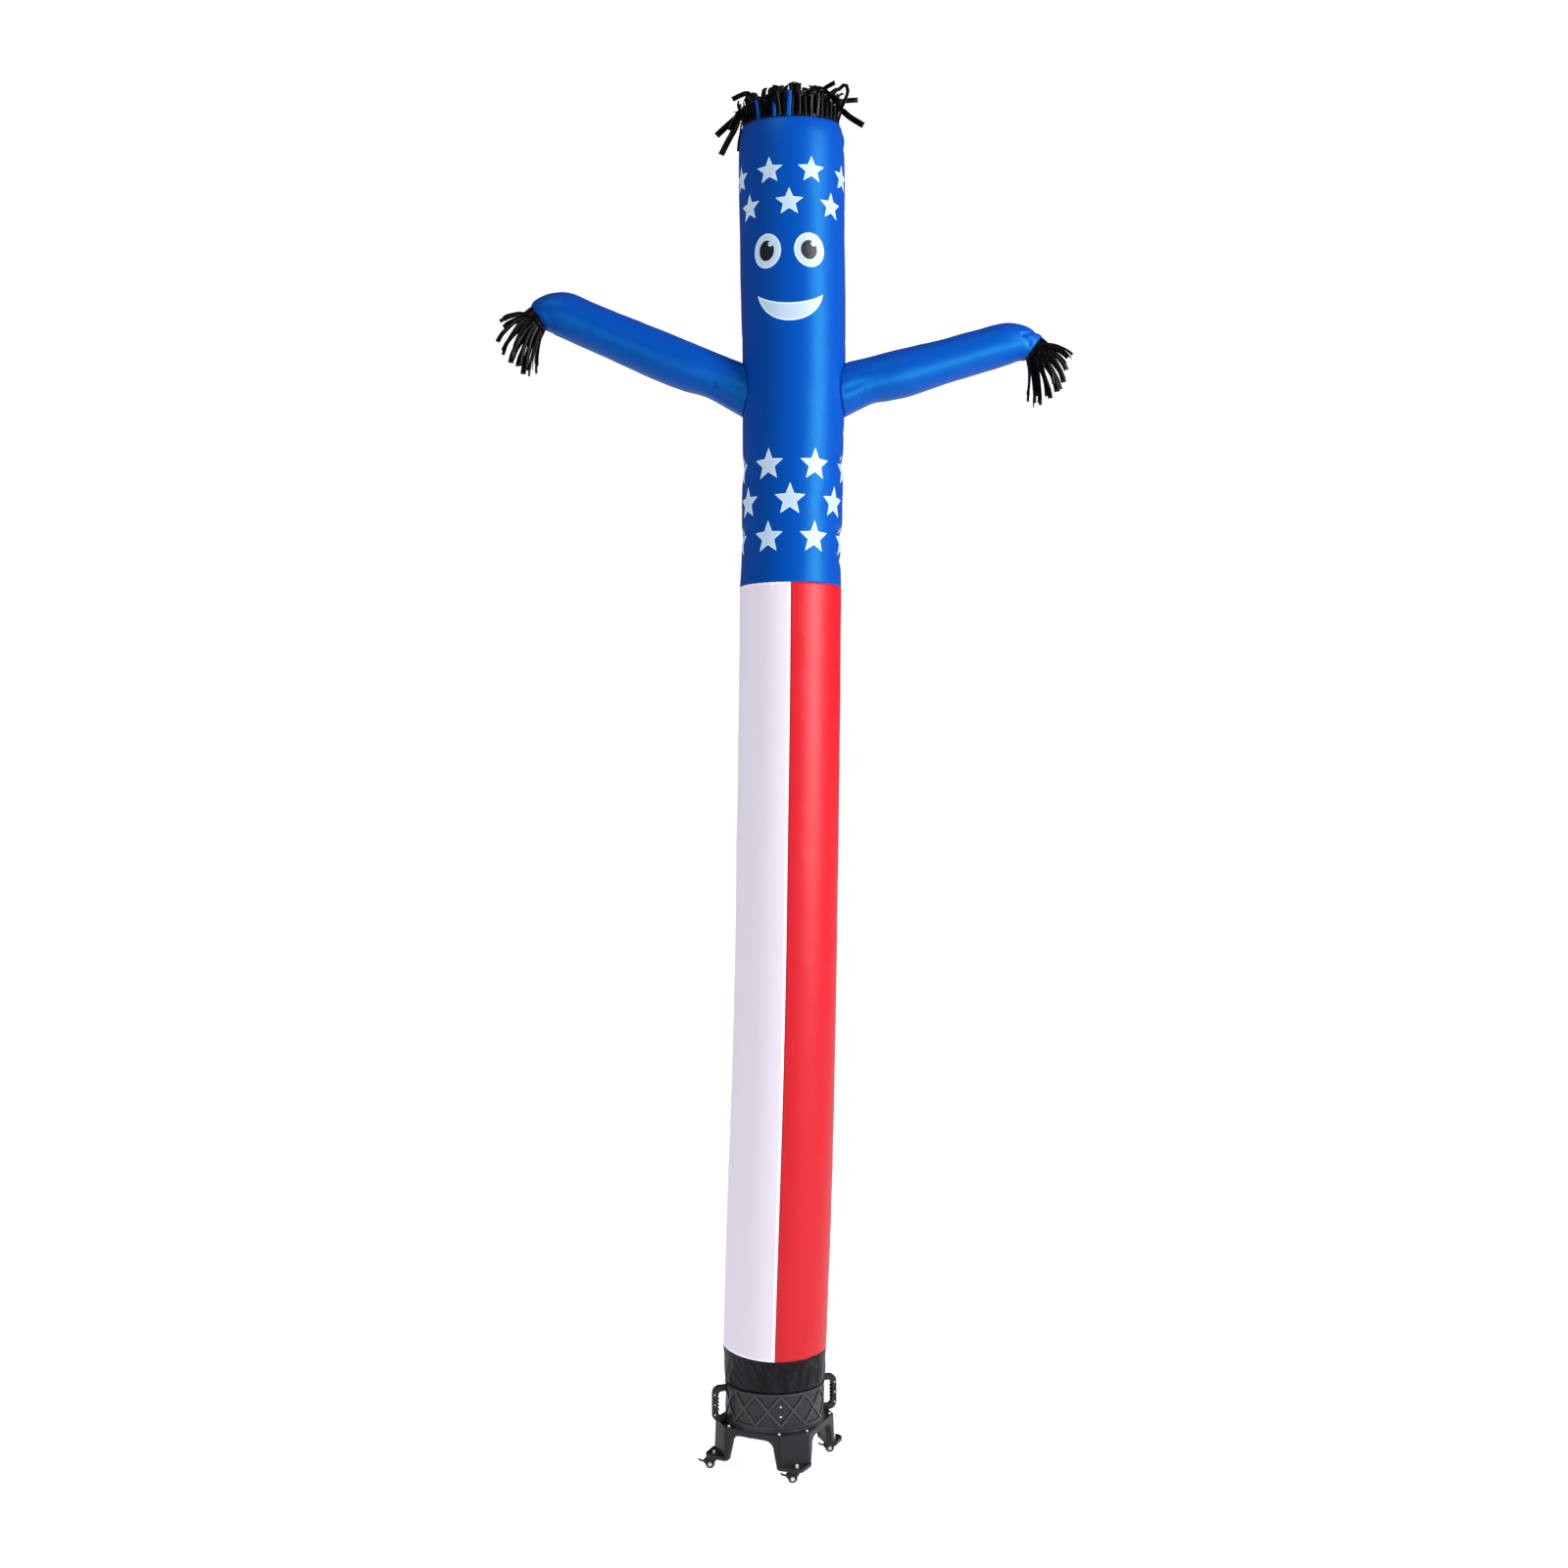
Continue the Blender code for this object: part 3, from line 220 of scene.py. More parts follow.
# Strips that flop over: direction of the root in degrees, width, twist towards the tip in
# degrees, then the way they go from the band, as distance out from the head's middle and
# height.
HAIR_ROOT = (0.209, 5.898)
HAIR_FLOPS = (
    (188, 0.024, 80, ((0.173, 5.975), (0.176, 6.025), (0.191, 6.051), (0.223, 6.041),
                      (0.261, 6.020))),
    (176, 0.027, 78, ((0.188, 5.984), (0.186, 6.005), (0.227, 5.968), (0.283, 5.921),
                      (0.332, 5.877))),
    (170, 0.025, 75, ((0.200, 5.981), (0.204, 5.998), (0.235, 5.962), (0.280, 5.917))),
    (184, 0.028, 78, ((0.205, 5.950), (0.222, 5.955), (0.250, 5.894), (0.279, 5.841),
                      (0.310, 5.779))),
    (194, 0.026, 78, ((0.210, 5.945), (0.232, 5.959), (0.254, 5.920), (0.278, 5.875))),
    (198, 0.010, 60, ((0.216, 5.913), (0.228, 5.912), (0.234, 5.864), (0.241, 5.829),
                      (0.246, 5.781))),
    (-30, 0.020, 78, ((0.172, 5.961), (0.150, 6.018), (0.161, 6.046), (0.221, 6.066))),
    (-40, 0.024, 70, ((0.140, 5.979), (0.130, 6.028), (0.161, 6.046), (0.230, 5.995),
                      (0.278, 5.952))),
    (-8, 0.017, 75, ((0.212, 5.960), (0.180, 6.032), (0.182, 6.052), (0.209, 6.055),
                     (0.241, 6.078), (0.253, 6.049), (0.238, 6.005), (0.221, 5.968))),
    (6, 0.022, 75, ((0.210, 5.961), (0.214, 6.008), (0.240, 6.021), (0.299, 6.028))),
    (-12, 0.026, 80, ((0.214, 5.934), (0.225, 5.960), (0.263, 5.928), (0.325, 5.885))),
    (118, 0.022, 30, ((0.222, 5.985), (0.262, 6.000), (0.300, 5.930))),
    (70, 0.022, 30, ((0.218, 5.985), (0.255, 6.010), (0.295, 5.960))),
)
BLUE_STRIPS = (  # direction in degrees, length, width
    (-131.7, 0.080, 0.017),
    (-110.0, 0.108, 0.015),
    (-93.0, 0.112, 0.019),
)

# ---------------------------------------------------------------- sizes of the blower
STAND_AXIS = Vector((-0.041, 0, 0))
STAND_TURN = 20  # both in degrees
RING_TURN = 18.5
LEGS = {"right": 0, "back": 90, "left": 180, "front": 270}
DECK_TOP = 0.195
RING_RADIUS = 0.219
RING_OUTSIDE = RING_RADIUS + 0.0003  # over the corners of the CAD's many-sided wall
RING_INNER = 0.211
RING_TOP = 0.358
LATTICE_LOW = 0.222
LATTICE_HIGH = 0.3455
CROSSES = 12
RIB_WIDTH = 0.0120
RIB_HEIGHT = 0.0055
BAR_ROOT = 0.0015  # how deep a rib's foot reaches into the wall
HANDLE_OUT = 0.2885
HANDLE_LOW = 0.198
HANDLE_HIGH = 0.357
HANDLE_BAR = 0.027
HANDLE_HALF = 0.011
GRIPS = 5  # finger scallops
SCREWS_FROM = 0.032  # the lowest screw above the handle's foot
SCREWS_APART = 0.044
BOSS_TURN = 258.75
BOSS_HEIGHT = 0.283
BOSS_RADIUS = 0.011
SCREW_STEP = 0.021
BOLT_OUT = 0.235
BOLT_ACROSS = 0.064
STEM_AT = 0.281
TRAY_FLOOR = 0.062
POST_MIDDLE = 0.0537  # height of the middle of each caster's stem
WHEEL_RADIUS = 0.020
WHEEL_HALF = 0.009
TRAIL = 0.018
FORK_HALF = 0.013
AXLE_CAP = 0.0085
HUB_RADIUS = 0.0134
TYRE_ROUND = 0.003
GROOVE_AT = -0.003
GROOVE_DEPTH = 0.0008


# ---------------------------------------------------------------- materials
def linear(level):
    """One sRGB channel as a linear value."""
    return level / 12.92 if level <= 0.04045 else ((level + 0.055) / 1.055) ** 2.4


def colour(code):
    """An sRGB hex code as linear red, green and blue, with alpha."""
    channels = [linear(int(code[start : start + 2], 16) / 255) for start in (1, 3, 5)]
    return (*channels, 1)


def add(tree, kind, *feeds, sockets=None, **options):
    """Adds a node; feeds fill its sockets in order, and None leaves one as it is."""
    made = tree.nodes.new("ShaderNode" + kind)
    for name, value in options.items():
        setattr(made, name, value)
    for socket, feed in [*enumerate(feeds), *(sockets or {}).items()]:
        if isinstance(feed, bpy.types.Node):
            feed = feed.outputs[0]
        if isinstance(feed, bpy.types.NodeSocket):
            tree.links.new(feed, made.inputs[socket])
        elif feed is not None:
            made.inputs[socket].default_value = feed
    return made


def new_material(name, code, roughness, **settings):
    """A Principled material; settings name its sockets with _ for a space."""
    made = bpy.data.materials.new(name)
    made.use_nodes = True
    shader = made.node_tree.nodes["Principled BSDF"]
    shader.inputs["Base Color"].default_value = colour(code)
    shader.inputs["Roughness"].default_value = roughness
    for socket, value in settings.items():
        shader.inputs[socket.replace("_", " ")].default_value = value
    made.diffuse_color = colour(code)
    return made, made.node_tree, shader


def lumps(tree, strength, depth, mapping=None, **grain):
    """Unevenness on Object coordinates: the noise that draws it, and its bump."""
    places = add(tree, "TexCoord").outputs["Object"]
    if mapping:
        places = add(tree, "Mapping", places, **mapping)
    height = add(tree, "TexNoise", places, sockets=grain)
    sockets = {"Strength": strength, "Distance": depth, "Height": height}
    return height, add(tree, "Bump", sockets=sockets)


def weave(tree, shader, spacing, strength, under):
    """Threads of a plain weave on the UV map, one every spacing metres, over soft lumps."""
    cloth = add(tree, "SeparateXYZ", add(tree, "UVMap", uv_map="cloth"))
    waves = []
    for direction in (0, 1):
        turn = add(tree, "Math", cloth.outputs[direction], pi / spacing, operation="MULTIPLY")
        wave = add(tree, "Math", turn, operation="SINE")
        waves.append(add(tree, "Math", wave, operation="ABSOLUTE"))
    threads = add(tree, "Math", *waves, operation="MULTIPLY")
    sockets = {"Strength": strength, "Distance": THREAD, "Height": threads, "Normal": under}
    fine = add(tree, "Bump", sockets=sockets)
    tree.links.new(fine.outputs[0], shader.inputs["Normal"])


def uneven_gloss(tree, shader, low, high, **marks):
    """Cloudy handling marks: the roughness drifts between low and high."""
    places = add(tree, "TexCoord").outputs["Object"]
    cloudy = add(tree, "TexNoise", places, sockets=marks)
    rough = add(tree, "MapRange", cloudy, sockets={"To Min": low, "To Max": high})
    tree.links.new(rough.outputs[0], shader.inputs["Roughness"])


def dress_nylon(tree, shader, creases):
    """Coated nylon: fine threads, and soft creases that catch the light."""
    soft = lumps(
        tree, creases, 0.012, {"sockets": {"Scale": (1, 1, 0.55)}},
        Scale=7.0, Detail=3.0, Roughness=0.55, Distortion=0.8,
    )[1]
    # The threads are drawn 2 mm apart, coarser than the real 0.3 mm, so that they show.
    weave(tree, shader, 0.002, 0.25, soft)


def star_mask(tree, across, up, radius):
    """1 inside a five-pointed star about (0, 0), and a second mask for its pale rim."""
    fifth = radians(72)
    angle = add(tree, "Math", across, up, operation="ARCTAN2")
    # The star is folded into half of one of its points.
    for operation, value in (
        ("ADD", fifth / 2), ("FLOORED_MODULO", fifth), ("SUBTRACT", fifth / 2),
        ("ABSOLUTE", None),
    ):
        angle = add(tree, "Math", angle, value, operation=operation)
    rest = add(tree, "Math", fifth / 2, angle, operation="SUBTRACT")
    near = add(tree, "Math", angle, operation="SINE")
    far = add(tree, "Math", rest, operation="SINE")
    below = add(tree, "Math", far, STAR_INNER, near, operation="MULTIPLY_ADD")
    top = add(tree, "Math", radius, STAR_INNER * sin(fifth / 2), operation="MULTIPLY")
    edge = add(tree, "Math", top, below, operation="DIVIDE")
    flat = add(tree, "CombineXYZ", across, up)
    distance = add(tree, "VectorMath", flat, operation="LENGTH").outputs["Value"]
    inside = add(tree, "Math", edge, distance, operation="GREATER_THAN")
    core = add(tree, "Math", edge, STAR_CORE, operation="MULTIPLY")
    rim = add(tree, "Math", distance, core, operation="GREATER_THAN")
    return inside, add(tree, "Math", inside, rim, operation="MULTIPLY")


# Rows of printed stars: upper end of the row, height of its stars, one star's angle from
# the front and the step to the next in degrees, outer radius, and the angle past which one
# whole star is printed across the back seam.
STAR_ROWS = (
    (4.135, 4.055, -27.7, 54.0, 0.073, 161),
    (4.292, 4.215, -2.9, 57.5, 0.073, 141),
    (4.800, 4.369, -28.5, 54.0, 0.073, 161),
    (5.563, 5.495, -3.2, 49.4, 0.063, 181),
    (9.000, 5.641, -24.9, 46.0, 0.063, 181),
)
STAR_INNER = 0.44  # of the outer radius
STAR_CORE = 0.88  # the rest is its pale rim

# The printed face, each shape by its middle's angle from the front seam in degrees, the
# height of its middle, and its half width and half height.
EYES = ((-28.9, 5.289, 0.0650, 0.0742), (18.4, 5.289, 0.0679, 0.0735))
PUPILS = ((-29.3, 5.290, 0.0360, 0.0440), (17.6, 5.2895, 0.0363, 0.0407))
EYE_CORE = 0.93
# The glint in each pupil: its place from the pupil's middle, and its radius.
GLINT_ACROSS = 0.020
GLINT_UP = 0.027
GLINT_RADIUS = 0.0115
MOUTH_ANGLE = -4.1
MOUTH_LOW = (5.1380, 0.1546)  # middle's height and radius of the lower curve
MOUTH_HIGH = (5.3414, 0.2816)
MOUTH_RIM = 0.006


def star_rows(tree, height):
    """The numbers of the row of stars at a height, which step up from row to row."""
    values, before, above = {}, {}, None
    for limit, middle, first, step, radius, seam in STAR_ROWS:
        pitch = radians(step) * PRINT_RADIUS
        row = {
            "up": middle,
            "phase": radians(first) * PRINT_RADIUS - pitch / 2,
            "pitch": pitch,
            "radius": radius,
            "seam": radians(seam) * PRINT_RADIUS,
        }
        if above is None:
            values = dict(row)
        else:
            past = add(tree, "Math", height, above, operation="GREATER_THAN")
            for key, value in row.items():
                change = value - before[key]
                values[key] = add(
                    tree, "Math", past, change, values[key], operation="MULTIPLY_ADD"
                )
        before, above = row, limit
    return values


def printed_shapes(tree):
    """Masks of the pale prints, their rims and the pupils, on the tube's UV map."""
    place = add(tree, "SeparateXYZ", add(tree, "UVMap", uv_map="cloth"))
    across, height = place.outputs[0], place.outputs[1]
    values = star_rows(tree, height)
    shifted = add(tree, "Math", across, values["phase"], operation="SUBTRACT")
    wrapped = add(tree, "Math", shifted, values["pitch"], operation="FLOORED_MODULO")
    half = add(tree, "Math", values["pitch"], 0.5, operation="MULTIPLY")
    from_middle = add(tree, "Math", wrapped, half, operation="SUBTRACT")
    # Past a row's last whole star, one more is printed across the tube's back seam.
    side = add(tree, "Math", across, operation="SIGN")
    from_seam = add(tree, "Math", side, -pi * PRINT_RADIUS, across, operation="MULTIPLY_ADD")
    away = add(tree, "Math", across, operation="ABSOLUTE")
    behind = add(tree, "Math", away, values["seam"], operation="GREATER_THAN")
    star_across = add(
        tree, "Mix", data_type="FLOAT", sockets={0: behind, 2: from_middle, 3: from_seam}
    )
    star_up = add(tree, "Math", height, values["up"], operation="SUBTRACT")
    star, star_rim = star_mask(tree, star_across, star_up, values["radius"])

    def oval(angle, middle, half_width, half_height, edge=1.0):
        """1 inside an oval."""
        flat = add(tree, "CombineXYZ", across, height)
        for value, operation in (
            ((radians(angle) * PRINT_RADIUS, middle, 0), "SUBTRACT"),
            ((1 / half_width, 1 / half_height, 0), "MULTIPLY"),
        ):
            flat = add(tree, "VectorMath", flat, value, operation=operation)
        length = add(tree, "VectorMath", flat, operation="LENGTH").outputs["Value"]
        return add(tree, "Math", length, edge, operation="LESS_THAN")

    def either(first, second):
        return add(tree, "Math", first, second, operation="MAXIMUM")

    def without(first, second):
        return add(tree, "Math", first, second, operation="SUBTRACT", use_clamp=True)

    def mouth(inset):
        """The smile between its two round curves, drawn in all round by inset."""
        low, high = MOUTH_LOW[1] - inset, MOUTH_HIGH[1] + inset
        return without(
            oval(MOUTH_ANGLE, MOUTH_LOW[0], low, low),
            oval(MOUTH_ANGLE, MOUTH_HIGH[0], high, high),
        )

    eyes, eye_core = [either(*(oval(*eye, edge) for eye in EYES)) for edge in (1, EYE_CORE)]
    pupils = either(*(oval(*pupil) for pupil in PUPILS))
    for angle, middle, _, _ in PUPILS:
        place = (angle + GLINT_ACROSS / ARC, middle + GLINT_UP)
        pupils = without(pupils, oval(*place, GLINT_RADIUS, GLINT_RADIUS))
    smile = mouth(0)
    pale = either(either(eyes, smile), star)
    face_rim = either(without(eyes, eye_core), without(smile, mouth(MOUTH_RIM)))
    return pale, either(star_rim, face_rim), pupils


BLUE = "#0042A8"
BLUE_GLOSS = (0.09, 0.95, 1, 1)  # the coating takes the dye, so its shine is blue
RED_GLOSS = (1, 0.80, 0.80, 1)


def blue_print_material():
    """Royal blue coated nylon with screen-printed pale stars and a smiling face."""
    made, tree, shader = new_material(
        "printed_nylon", BLUE, 0.42, Specular_IOR_Level=0.50, Specular_Tint=BLUE_GLOSS
    )
    pale, rim, pupils = printed_shapes(tree)
    # Each ink is printed over the last.
    print_colour = colour(BLUE)
    for mask, ink in ((pale, "#93A3B7"), (rim, "#C1CDDA"), (pupils, "#14161F")):
        print_colour = add(
            tree, "Mix", data_type="RGBA", sockets={0: mask, 6: print_colour, 7: colour(ink)}
        ).outputs[2]
    tree.links.new(print_colour, shader.inputs["Base Color"])
    # The printed shapes shine white, the dyed ground blue. The pale ink, but not the pupils,
    # gets a painted glow: an emission that stands in for the light inside the tube coming
    # through it; the blue ground has none.
    inked = add(tree, "Math", pale, pupils, operation="MAXIMUM")
    painted_glow_mask = add(tree, "Math", pale, pupils, operation="SUBTRACT", use_clamp=True)
    for socket, mask, ground, printed in (
        ("Specular Tint", inked, BLUE_GLOSS, (1, 1, 1, 1)),
        ("Emission Color", painted_glow_mask, (0, 0, 0, 1), colour("#D0ECFF")),
    ):
        mixed = add(tree, "Mix", data_type="RGBA", sockets={0: mask, 6: ground, 7: printed})
        tree.links.new(mixed.outputs[2], shader.inputs[socket])
    shader.inputs["Emission Strength"].default_value = 0.36
    dress_nylon(tree, shader, 0.20)
    return made


def plain_nylon_material(name, code, roughness, creases, gloss):
    """Coated nylon of one colour, as on the arms and the red panels."""
    made, tree, shader = new_material(
        name, code, roughness, Specular_IOR_Level=0.50, Specular_Tint=gloss
    )
    dress_nylon(tree, shader, creases)
    return made


def white_nylon_material():
    """White nylon: the single layer looks cool and lavender, its doubled hems whiter."""
    made, tree, shader = new_material("white_nylon", "#BDB6C2", 0.50, Specular_IOR_Level=0.30)
    # Painted glow: an emission that stands in for the light coming through the single layer from
    # behind.
    shader.inputs["Emission Color"].default_value = colour("#DDD5E3")
    shader.inputs["Emission Strength"].default_value = 0.46
    hem = add(tree, "VertexColor", layer_name="hem")
    shade = add(
        tree, "Mix", data_type="RGBA",
        sockets={0: hem, 6: colour("#BDB6C2"), 7: colour("#EFEDF2")},
    ).outputs[2]
    tree.links.new(shade, shader.inputs["Base Color"])
    dress_nylon(tree, shader, 0.18)
    return made


def satin_material():
    """Black satin: dull from the front, with a plum sheen along its folds, from the shader's
    sheen and from a painted highlight on the folds' tops.
    """
    made, tree, shader = new_material(
        "sleeve_satin", "#09040C", 0.38, Specular_IOR_Level=0.19, Sheen_Weight=0.03,
        Sheen_Roughness=0.4, Sheen_Tint=colour("#8A6C96"),
    )
    slant = {  # the folds slant down to the right
        "vector_type": "TEXTURE",
        "sockets": {"Rotation": (0, radians(-32), 0), "Scale": (1, 1, 3.0)},
    }
    folds, soft = lumps(
        tree, 0.60, 0.014, slant, Scale=22.0, Detail=4.0, Roughness=0.5, Distortion=1.2
    )
    # The tops of the folds are painted a paler plum: a painted highlight along the folds.
    crest_highlight_mask = add(tree, "MapRange", folds, sockets={"From Min": 0.46, "From Max": 0.64})
    plum = add(
        tree, "Mix", data_type="RGBA",
        sockets={0: crest_highlight_mask, 6: colour("#08040A"), 7: colour("#211726")},
    ).outputs[2]
    tree.links.new(plum, shader.inputs["Base Color"])
    # The threads are drawn 1.5 mm apart, coarser than the real 0.1 mm, so that they show.
    weave(tree, shader, 0.0015, 0.2, soft)
    return made


def strip_material():
    """Glossy coated strips: near black, with crinkles that flash white."""
    made, tree, shader = new_material(
        "glossy_strips", "#020203", 0.30, Specular_IOR_Level=0.11, Coat_Weight=0.08,
        Coat_Roughness=0.12,
    )
    bump = lumps(tree, 0.5, 0.004, Scale=60.0, Detail=3.0, Roughness=0.6, Distortion=0.6)[1]
    tree.links.new(bump.outputs[0], shader.inputs["Normal"])
    return made


def moulded_material(name, code, roughness):
    """Injection-moulded polypropylene: charcoal, with a fine spark-eroded grain."""
    made, tree, shader = new_material(name, code, roughness, Specular_IOR_Level=0.35)
    # The grain is drawn 1.5 mm wide, coarser than the real 0.2 mm, so that it shows.
    bump = lumps(tree, 0.12, 0.0004, Scale=1 / 0.0015, Detail=2.0, Roughness=0.6)[1]
    tree.links.new(bump.outputs[0], shader.inputs["Normal"])
    uneven_gloss(tree, shader, roughness - 0.05, roughness + 0.09, Scale=14.0, Detail=3.0)
    return made


def ring_plastic_painted_light_material():
    """The same plastic on the ring, with painted light and shade: a paler painted highlight on
    its rib tops and lip, darker painted shade on its sunk wall, rib sides and rib feet.
    """
    made = moulded_material("ring_plastic_painted_light", "#1F2126", 0.36)
    tree = made.node_tree
    shader = tree.nodes["Principled BSDF"]
    painted_light_and_shade = add(tree, "VertexColor", layer_name="painted_light_and_shade")
    # Painted light and shade: the per-vertex level runs from painted shade to painted highlight.
    tone = add(
        tree, "Mix", data_type="RGBA",
        sockets={0: painted_light_and_shade, 6: colour("#090A0B"), 7: colour("#42464D")},
    ).outputs[2]
    tree.links.new(tone, shader.inputs["Base Color"])
    return made


def chrome_material():
    """Bright plating on acorn nuts and screws, with faint handling marks."""
    made, tree, shader = new_material("chrome_plate", "#F4F4F6", 0.20, Metallic=0.35)
    uneven_gloss(tree, shader, 0.14, 0.28, Scale=260.0, Detail=4.0)
    return made


def make_materials():
    made = (
        blue_print_material(),
        plain_nylon_material("blue_nylon", BLUE, 0.42, 0.28, BLUE_GLOSS),
        plain_nylon_material("red_nylon", "#CC041D", 0.42, 0.18, RED_GLOSS),
        white_nylon_material(),
        satin_material(),
        strip_material(),
        moulded_material("moulded_plastic", "#1F2126", 0.38),
        ring_plastic_painted_light_material(),
        moulded_material("caster_plastic", "#191A1D", 0.38),
        moulded_material("tread_rubber", "#1B1B1D", 0.62),
        moulded_material("hub_plastic", "#A9ABAF", 0.40),
        chrome_material(),
    )
    return {material.name: material for material in made}


# ---------------------------------------------------------------- making pieces
def new_piece(name, bm, material, body="base", stands_for=(), wall=0.0, sharp=None):
    """Turns a bmesh into a piece of the object, and drops the bmesh."""
    mesh = bpy.data.meshes.new(name)
    bm.to_mesh(mesh)
    bm.free()
    mesh.materials.append(MATERIALS[material])
    mesh.shade_smooth()
    if sharp:
        mesh.set_sharp_from_angle(angle=radians(sharp))
    piece = bpy.data.objects.new(name, mesh)
    DRESSED.objects.link(piece)
    if wall:
        thicken = piece.modifiers.new("cloth wall", "SOLIDIFY")
        thicken.thickness = wall
        thicken.offset = -1
        thicken.use_rim = True
    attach(piece, body)
    if stands_for:
        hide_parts(*stands_for)
    return piece


def face_outwards(bm):
    bmesh.ops.recalc_face_normals(bm, faces=bm.faces)


def round_edges(bm, edges, offset, segments, **more):
    bmesh.ops.bevel(
        bm, geom=edges, offset=offset, segments=segments, profile=0.5, affect="EDGES",
        material=-1, **more,
    )


def moved(x, y, z):
    return Matrix.Translation((x, y, z))


def turned(degrees, axis="Z"):
    return Matrix.Rotation(radians(degrees), 4, axis)


def laid_grid(columns, rows, place, flat, corner=(0, 0), closed=False):
    """A sheet laid on a surface.

    place(across, along) gives a point for shares from 0 to 1. flat is the cut's width and
    length, for the UV map, and corner the UV of its low left corner.
    """
    bm = bmesh.new()
    bmesh.ops.create_grid(bm, x_segments=columns, y_segments=rows, size=0.5)
    cut = bm.loops.layers.uv.new("cloth")
    for face in bm.faces:
        for loop in face.loops:
            share = loop.vert.co
            loop[cut].uv = (
                corner[0] + (share.x + 0.5) * flat[0],
                corner[1] + (share.y + 0.5) * flat[1],
            )
    for vert in bm.verts:
        vert.co = place(vert.co.x + 0.5, vert.co.y + 0.5)
    if closed:
        bmesh.ops.remove_doubles(bm, verts=bm.verts, dist=1e-5)
    return bm


def between(rows, at):
    """The columns of a table at a place, joined smoothly through its rows."""
    if at <= rows[0][0]:
        return rows[0][1:]
    if at >= rows[-1][0]:
        return rows[-1][1:]
    i = max(k for k, row in enumerate(rows) if row[0] <= at)
    below, above = rows[i], rows[i + 1]
    before = rows[max(i - 1, 0)]
    after = rows[min(i + 2, len(rows) - 1)]
    span = above[0] - below[0]
    t = (at - below[0]) / span
    found = []
    for c in range(1, len(below)):
        slope_in = (above[c] - before[c]) * (span / (above[0] - before[0]))
        slope_out = (after[c] - below[c]) * (span / (after[0] - below[0]))
        found.append(
            below[c] * (2 * t**3 - 3 * t**2 + 1)
            + slope_in * (t**3 - 2 * t**2 + t)
            + above[c] * (3 * t**2 - 2 * t**3)
            + slope_out * (t**3 - t**2)
        )
    return found


def lengths_along(points):
    """The distance of each point from the first, along the line through them all."""
    stations = [0.0]
    for before, after in zip(points, points[1:]):
        stations.append(stations[-1] + (after - before).length)
    return stations


def beside(spot, first, last):
    """How far from first to last a spot lies, as a share, and how far off the line."""
    offset, along = spot - first, last - first
    share = max(0.0, min(1.0, offset.dot(along) / along.dot(along)))
    return share, (offset - along * share).length


def wobble(x, y, z, size, seed=0.0):
    """Smooth unevenness from -1 to 1, in lumps of the given size."""
    return noise.noise(Vector((x / size + seed, y / size + seed * 0.7, z / size - seed)))


# ---------------------------------------------------------------- the cloth body
def dent_at(turn, height):
    depth = 0.0
    for direction, middle, deepest, half_turn, half_height in DENTS:
        across = ((turn * 180 / pi - direction + 180) % 360 - 180) / half_turn
        up = (height - middle) / half_height
        if abs(up) < 3:
            depth += deepest * exp(-(across**2) - up**2)
    return depth


def fold_at(turn, height):
    """How deep the sharp folds go at a place; each runs out towards its second end."""
    if not 3.9 < height < 5.1:
        return 0.0
    degrees = (turn * 180 / pi + 270) % 360 - 270
    spot = Vector((degrees * ARC, height))
    depth = 0.0
    for (first_turn, first_height), (last_turn, last_height), deepest, half in TUBE_FOLDS:
        first = Vector((first_turn * ARC, first_height))
        share, away = beside(spot, first, Vector((last_turn * ARC, last_height)))
        away /= half
        if away < 3:
            depth += deepest * (1 - share**1.5) * exp(-(away**1.4))
    return depth


def puckers(turn, height, seam, length, depth, reach):
    """Small gathers that a seam's thread pulls up beside it."""
    away = abs(height - seam)
    if away > 4 * reach:
        return 0.0
    arc = turn * PRINT_RADIUS
    uneven = 0.5 + 0.5 * wobble(cos(turn), sin(turn), seam, 0.35, seam)
    wave = sin(2 * pi * arc / length + 2.0 * wobble(cos(turn), sin(turn), seam, 0.12, 3.1))
    return depth * uneven * wave * exp(-away / reach)


def body_radius(turn, height):
    middle, radius = between(BODY, height)
    radius -= dent_at(turn, height) + fold_at(turn, height)
    x, y = radius * cos(turn), radius * sin(turn)
    radius += 0.0012 * wobble(x, y, height, 0.22) + 0.0007 * wobble(x, y, height, 0.09, 2.0)
    radius += puckers(turn, height, PANEL_TOP, 0.034, 0.0016, 0.030)
    radius += puckers(turn, height, MOUTH_HEIGHT, 0.030, 0.0014, 0.022)
    radius += puckers(turn, height, SLEEVE_TOP, 0.040, 0.0010, 0.030)
    return middle, radius


def on_body(turn, height, lift=0.0):
    """A point on the outer face of the body; the head's rim dips to the front."""
    middle, radius = body_radius(turn, height)
    radius += lift
    share = max(0.0, (height - NOD_FROM) / (MOUTH_HEIGHT - NOD_FROM)) ** 2
    tilt = share * (MOUTH_DIP * sin(turn) + HEAD_ROLL * cos(turn))
    return Vector((middle + radius * cos(turn), radius * sin(turn), height + tilt))


def hem_lift(distance):
    """The doubled cloth of a hem or a felled seam stands a little proud."""
    if distance > HEM_WIDTH + HEM_EDGE:
        return 0.0
    rise = min(1.0, (HEM_WIDTH + HEM_EDGE - distance) / HEM_EDGE)
    return HEM_RISE * rise * min(1.0, distance / 0.0015)


def panel_foot(turn):
    """Height of the seam between panels and sleeve: it climbs round to the sides."""
    return SLEEVE_TOP + 0.0065 + 0.0125 * cos(turn) ** 2 - 0.0065 * cos(turn)


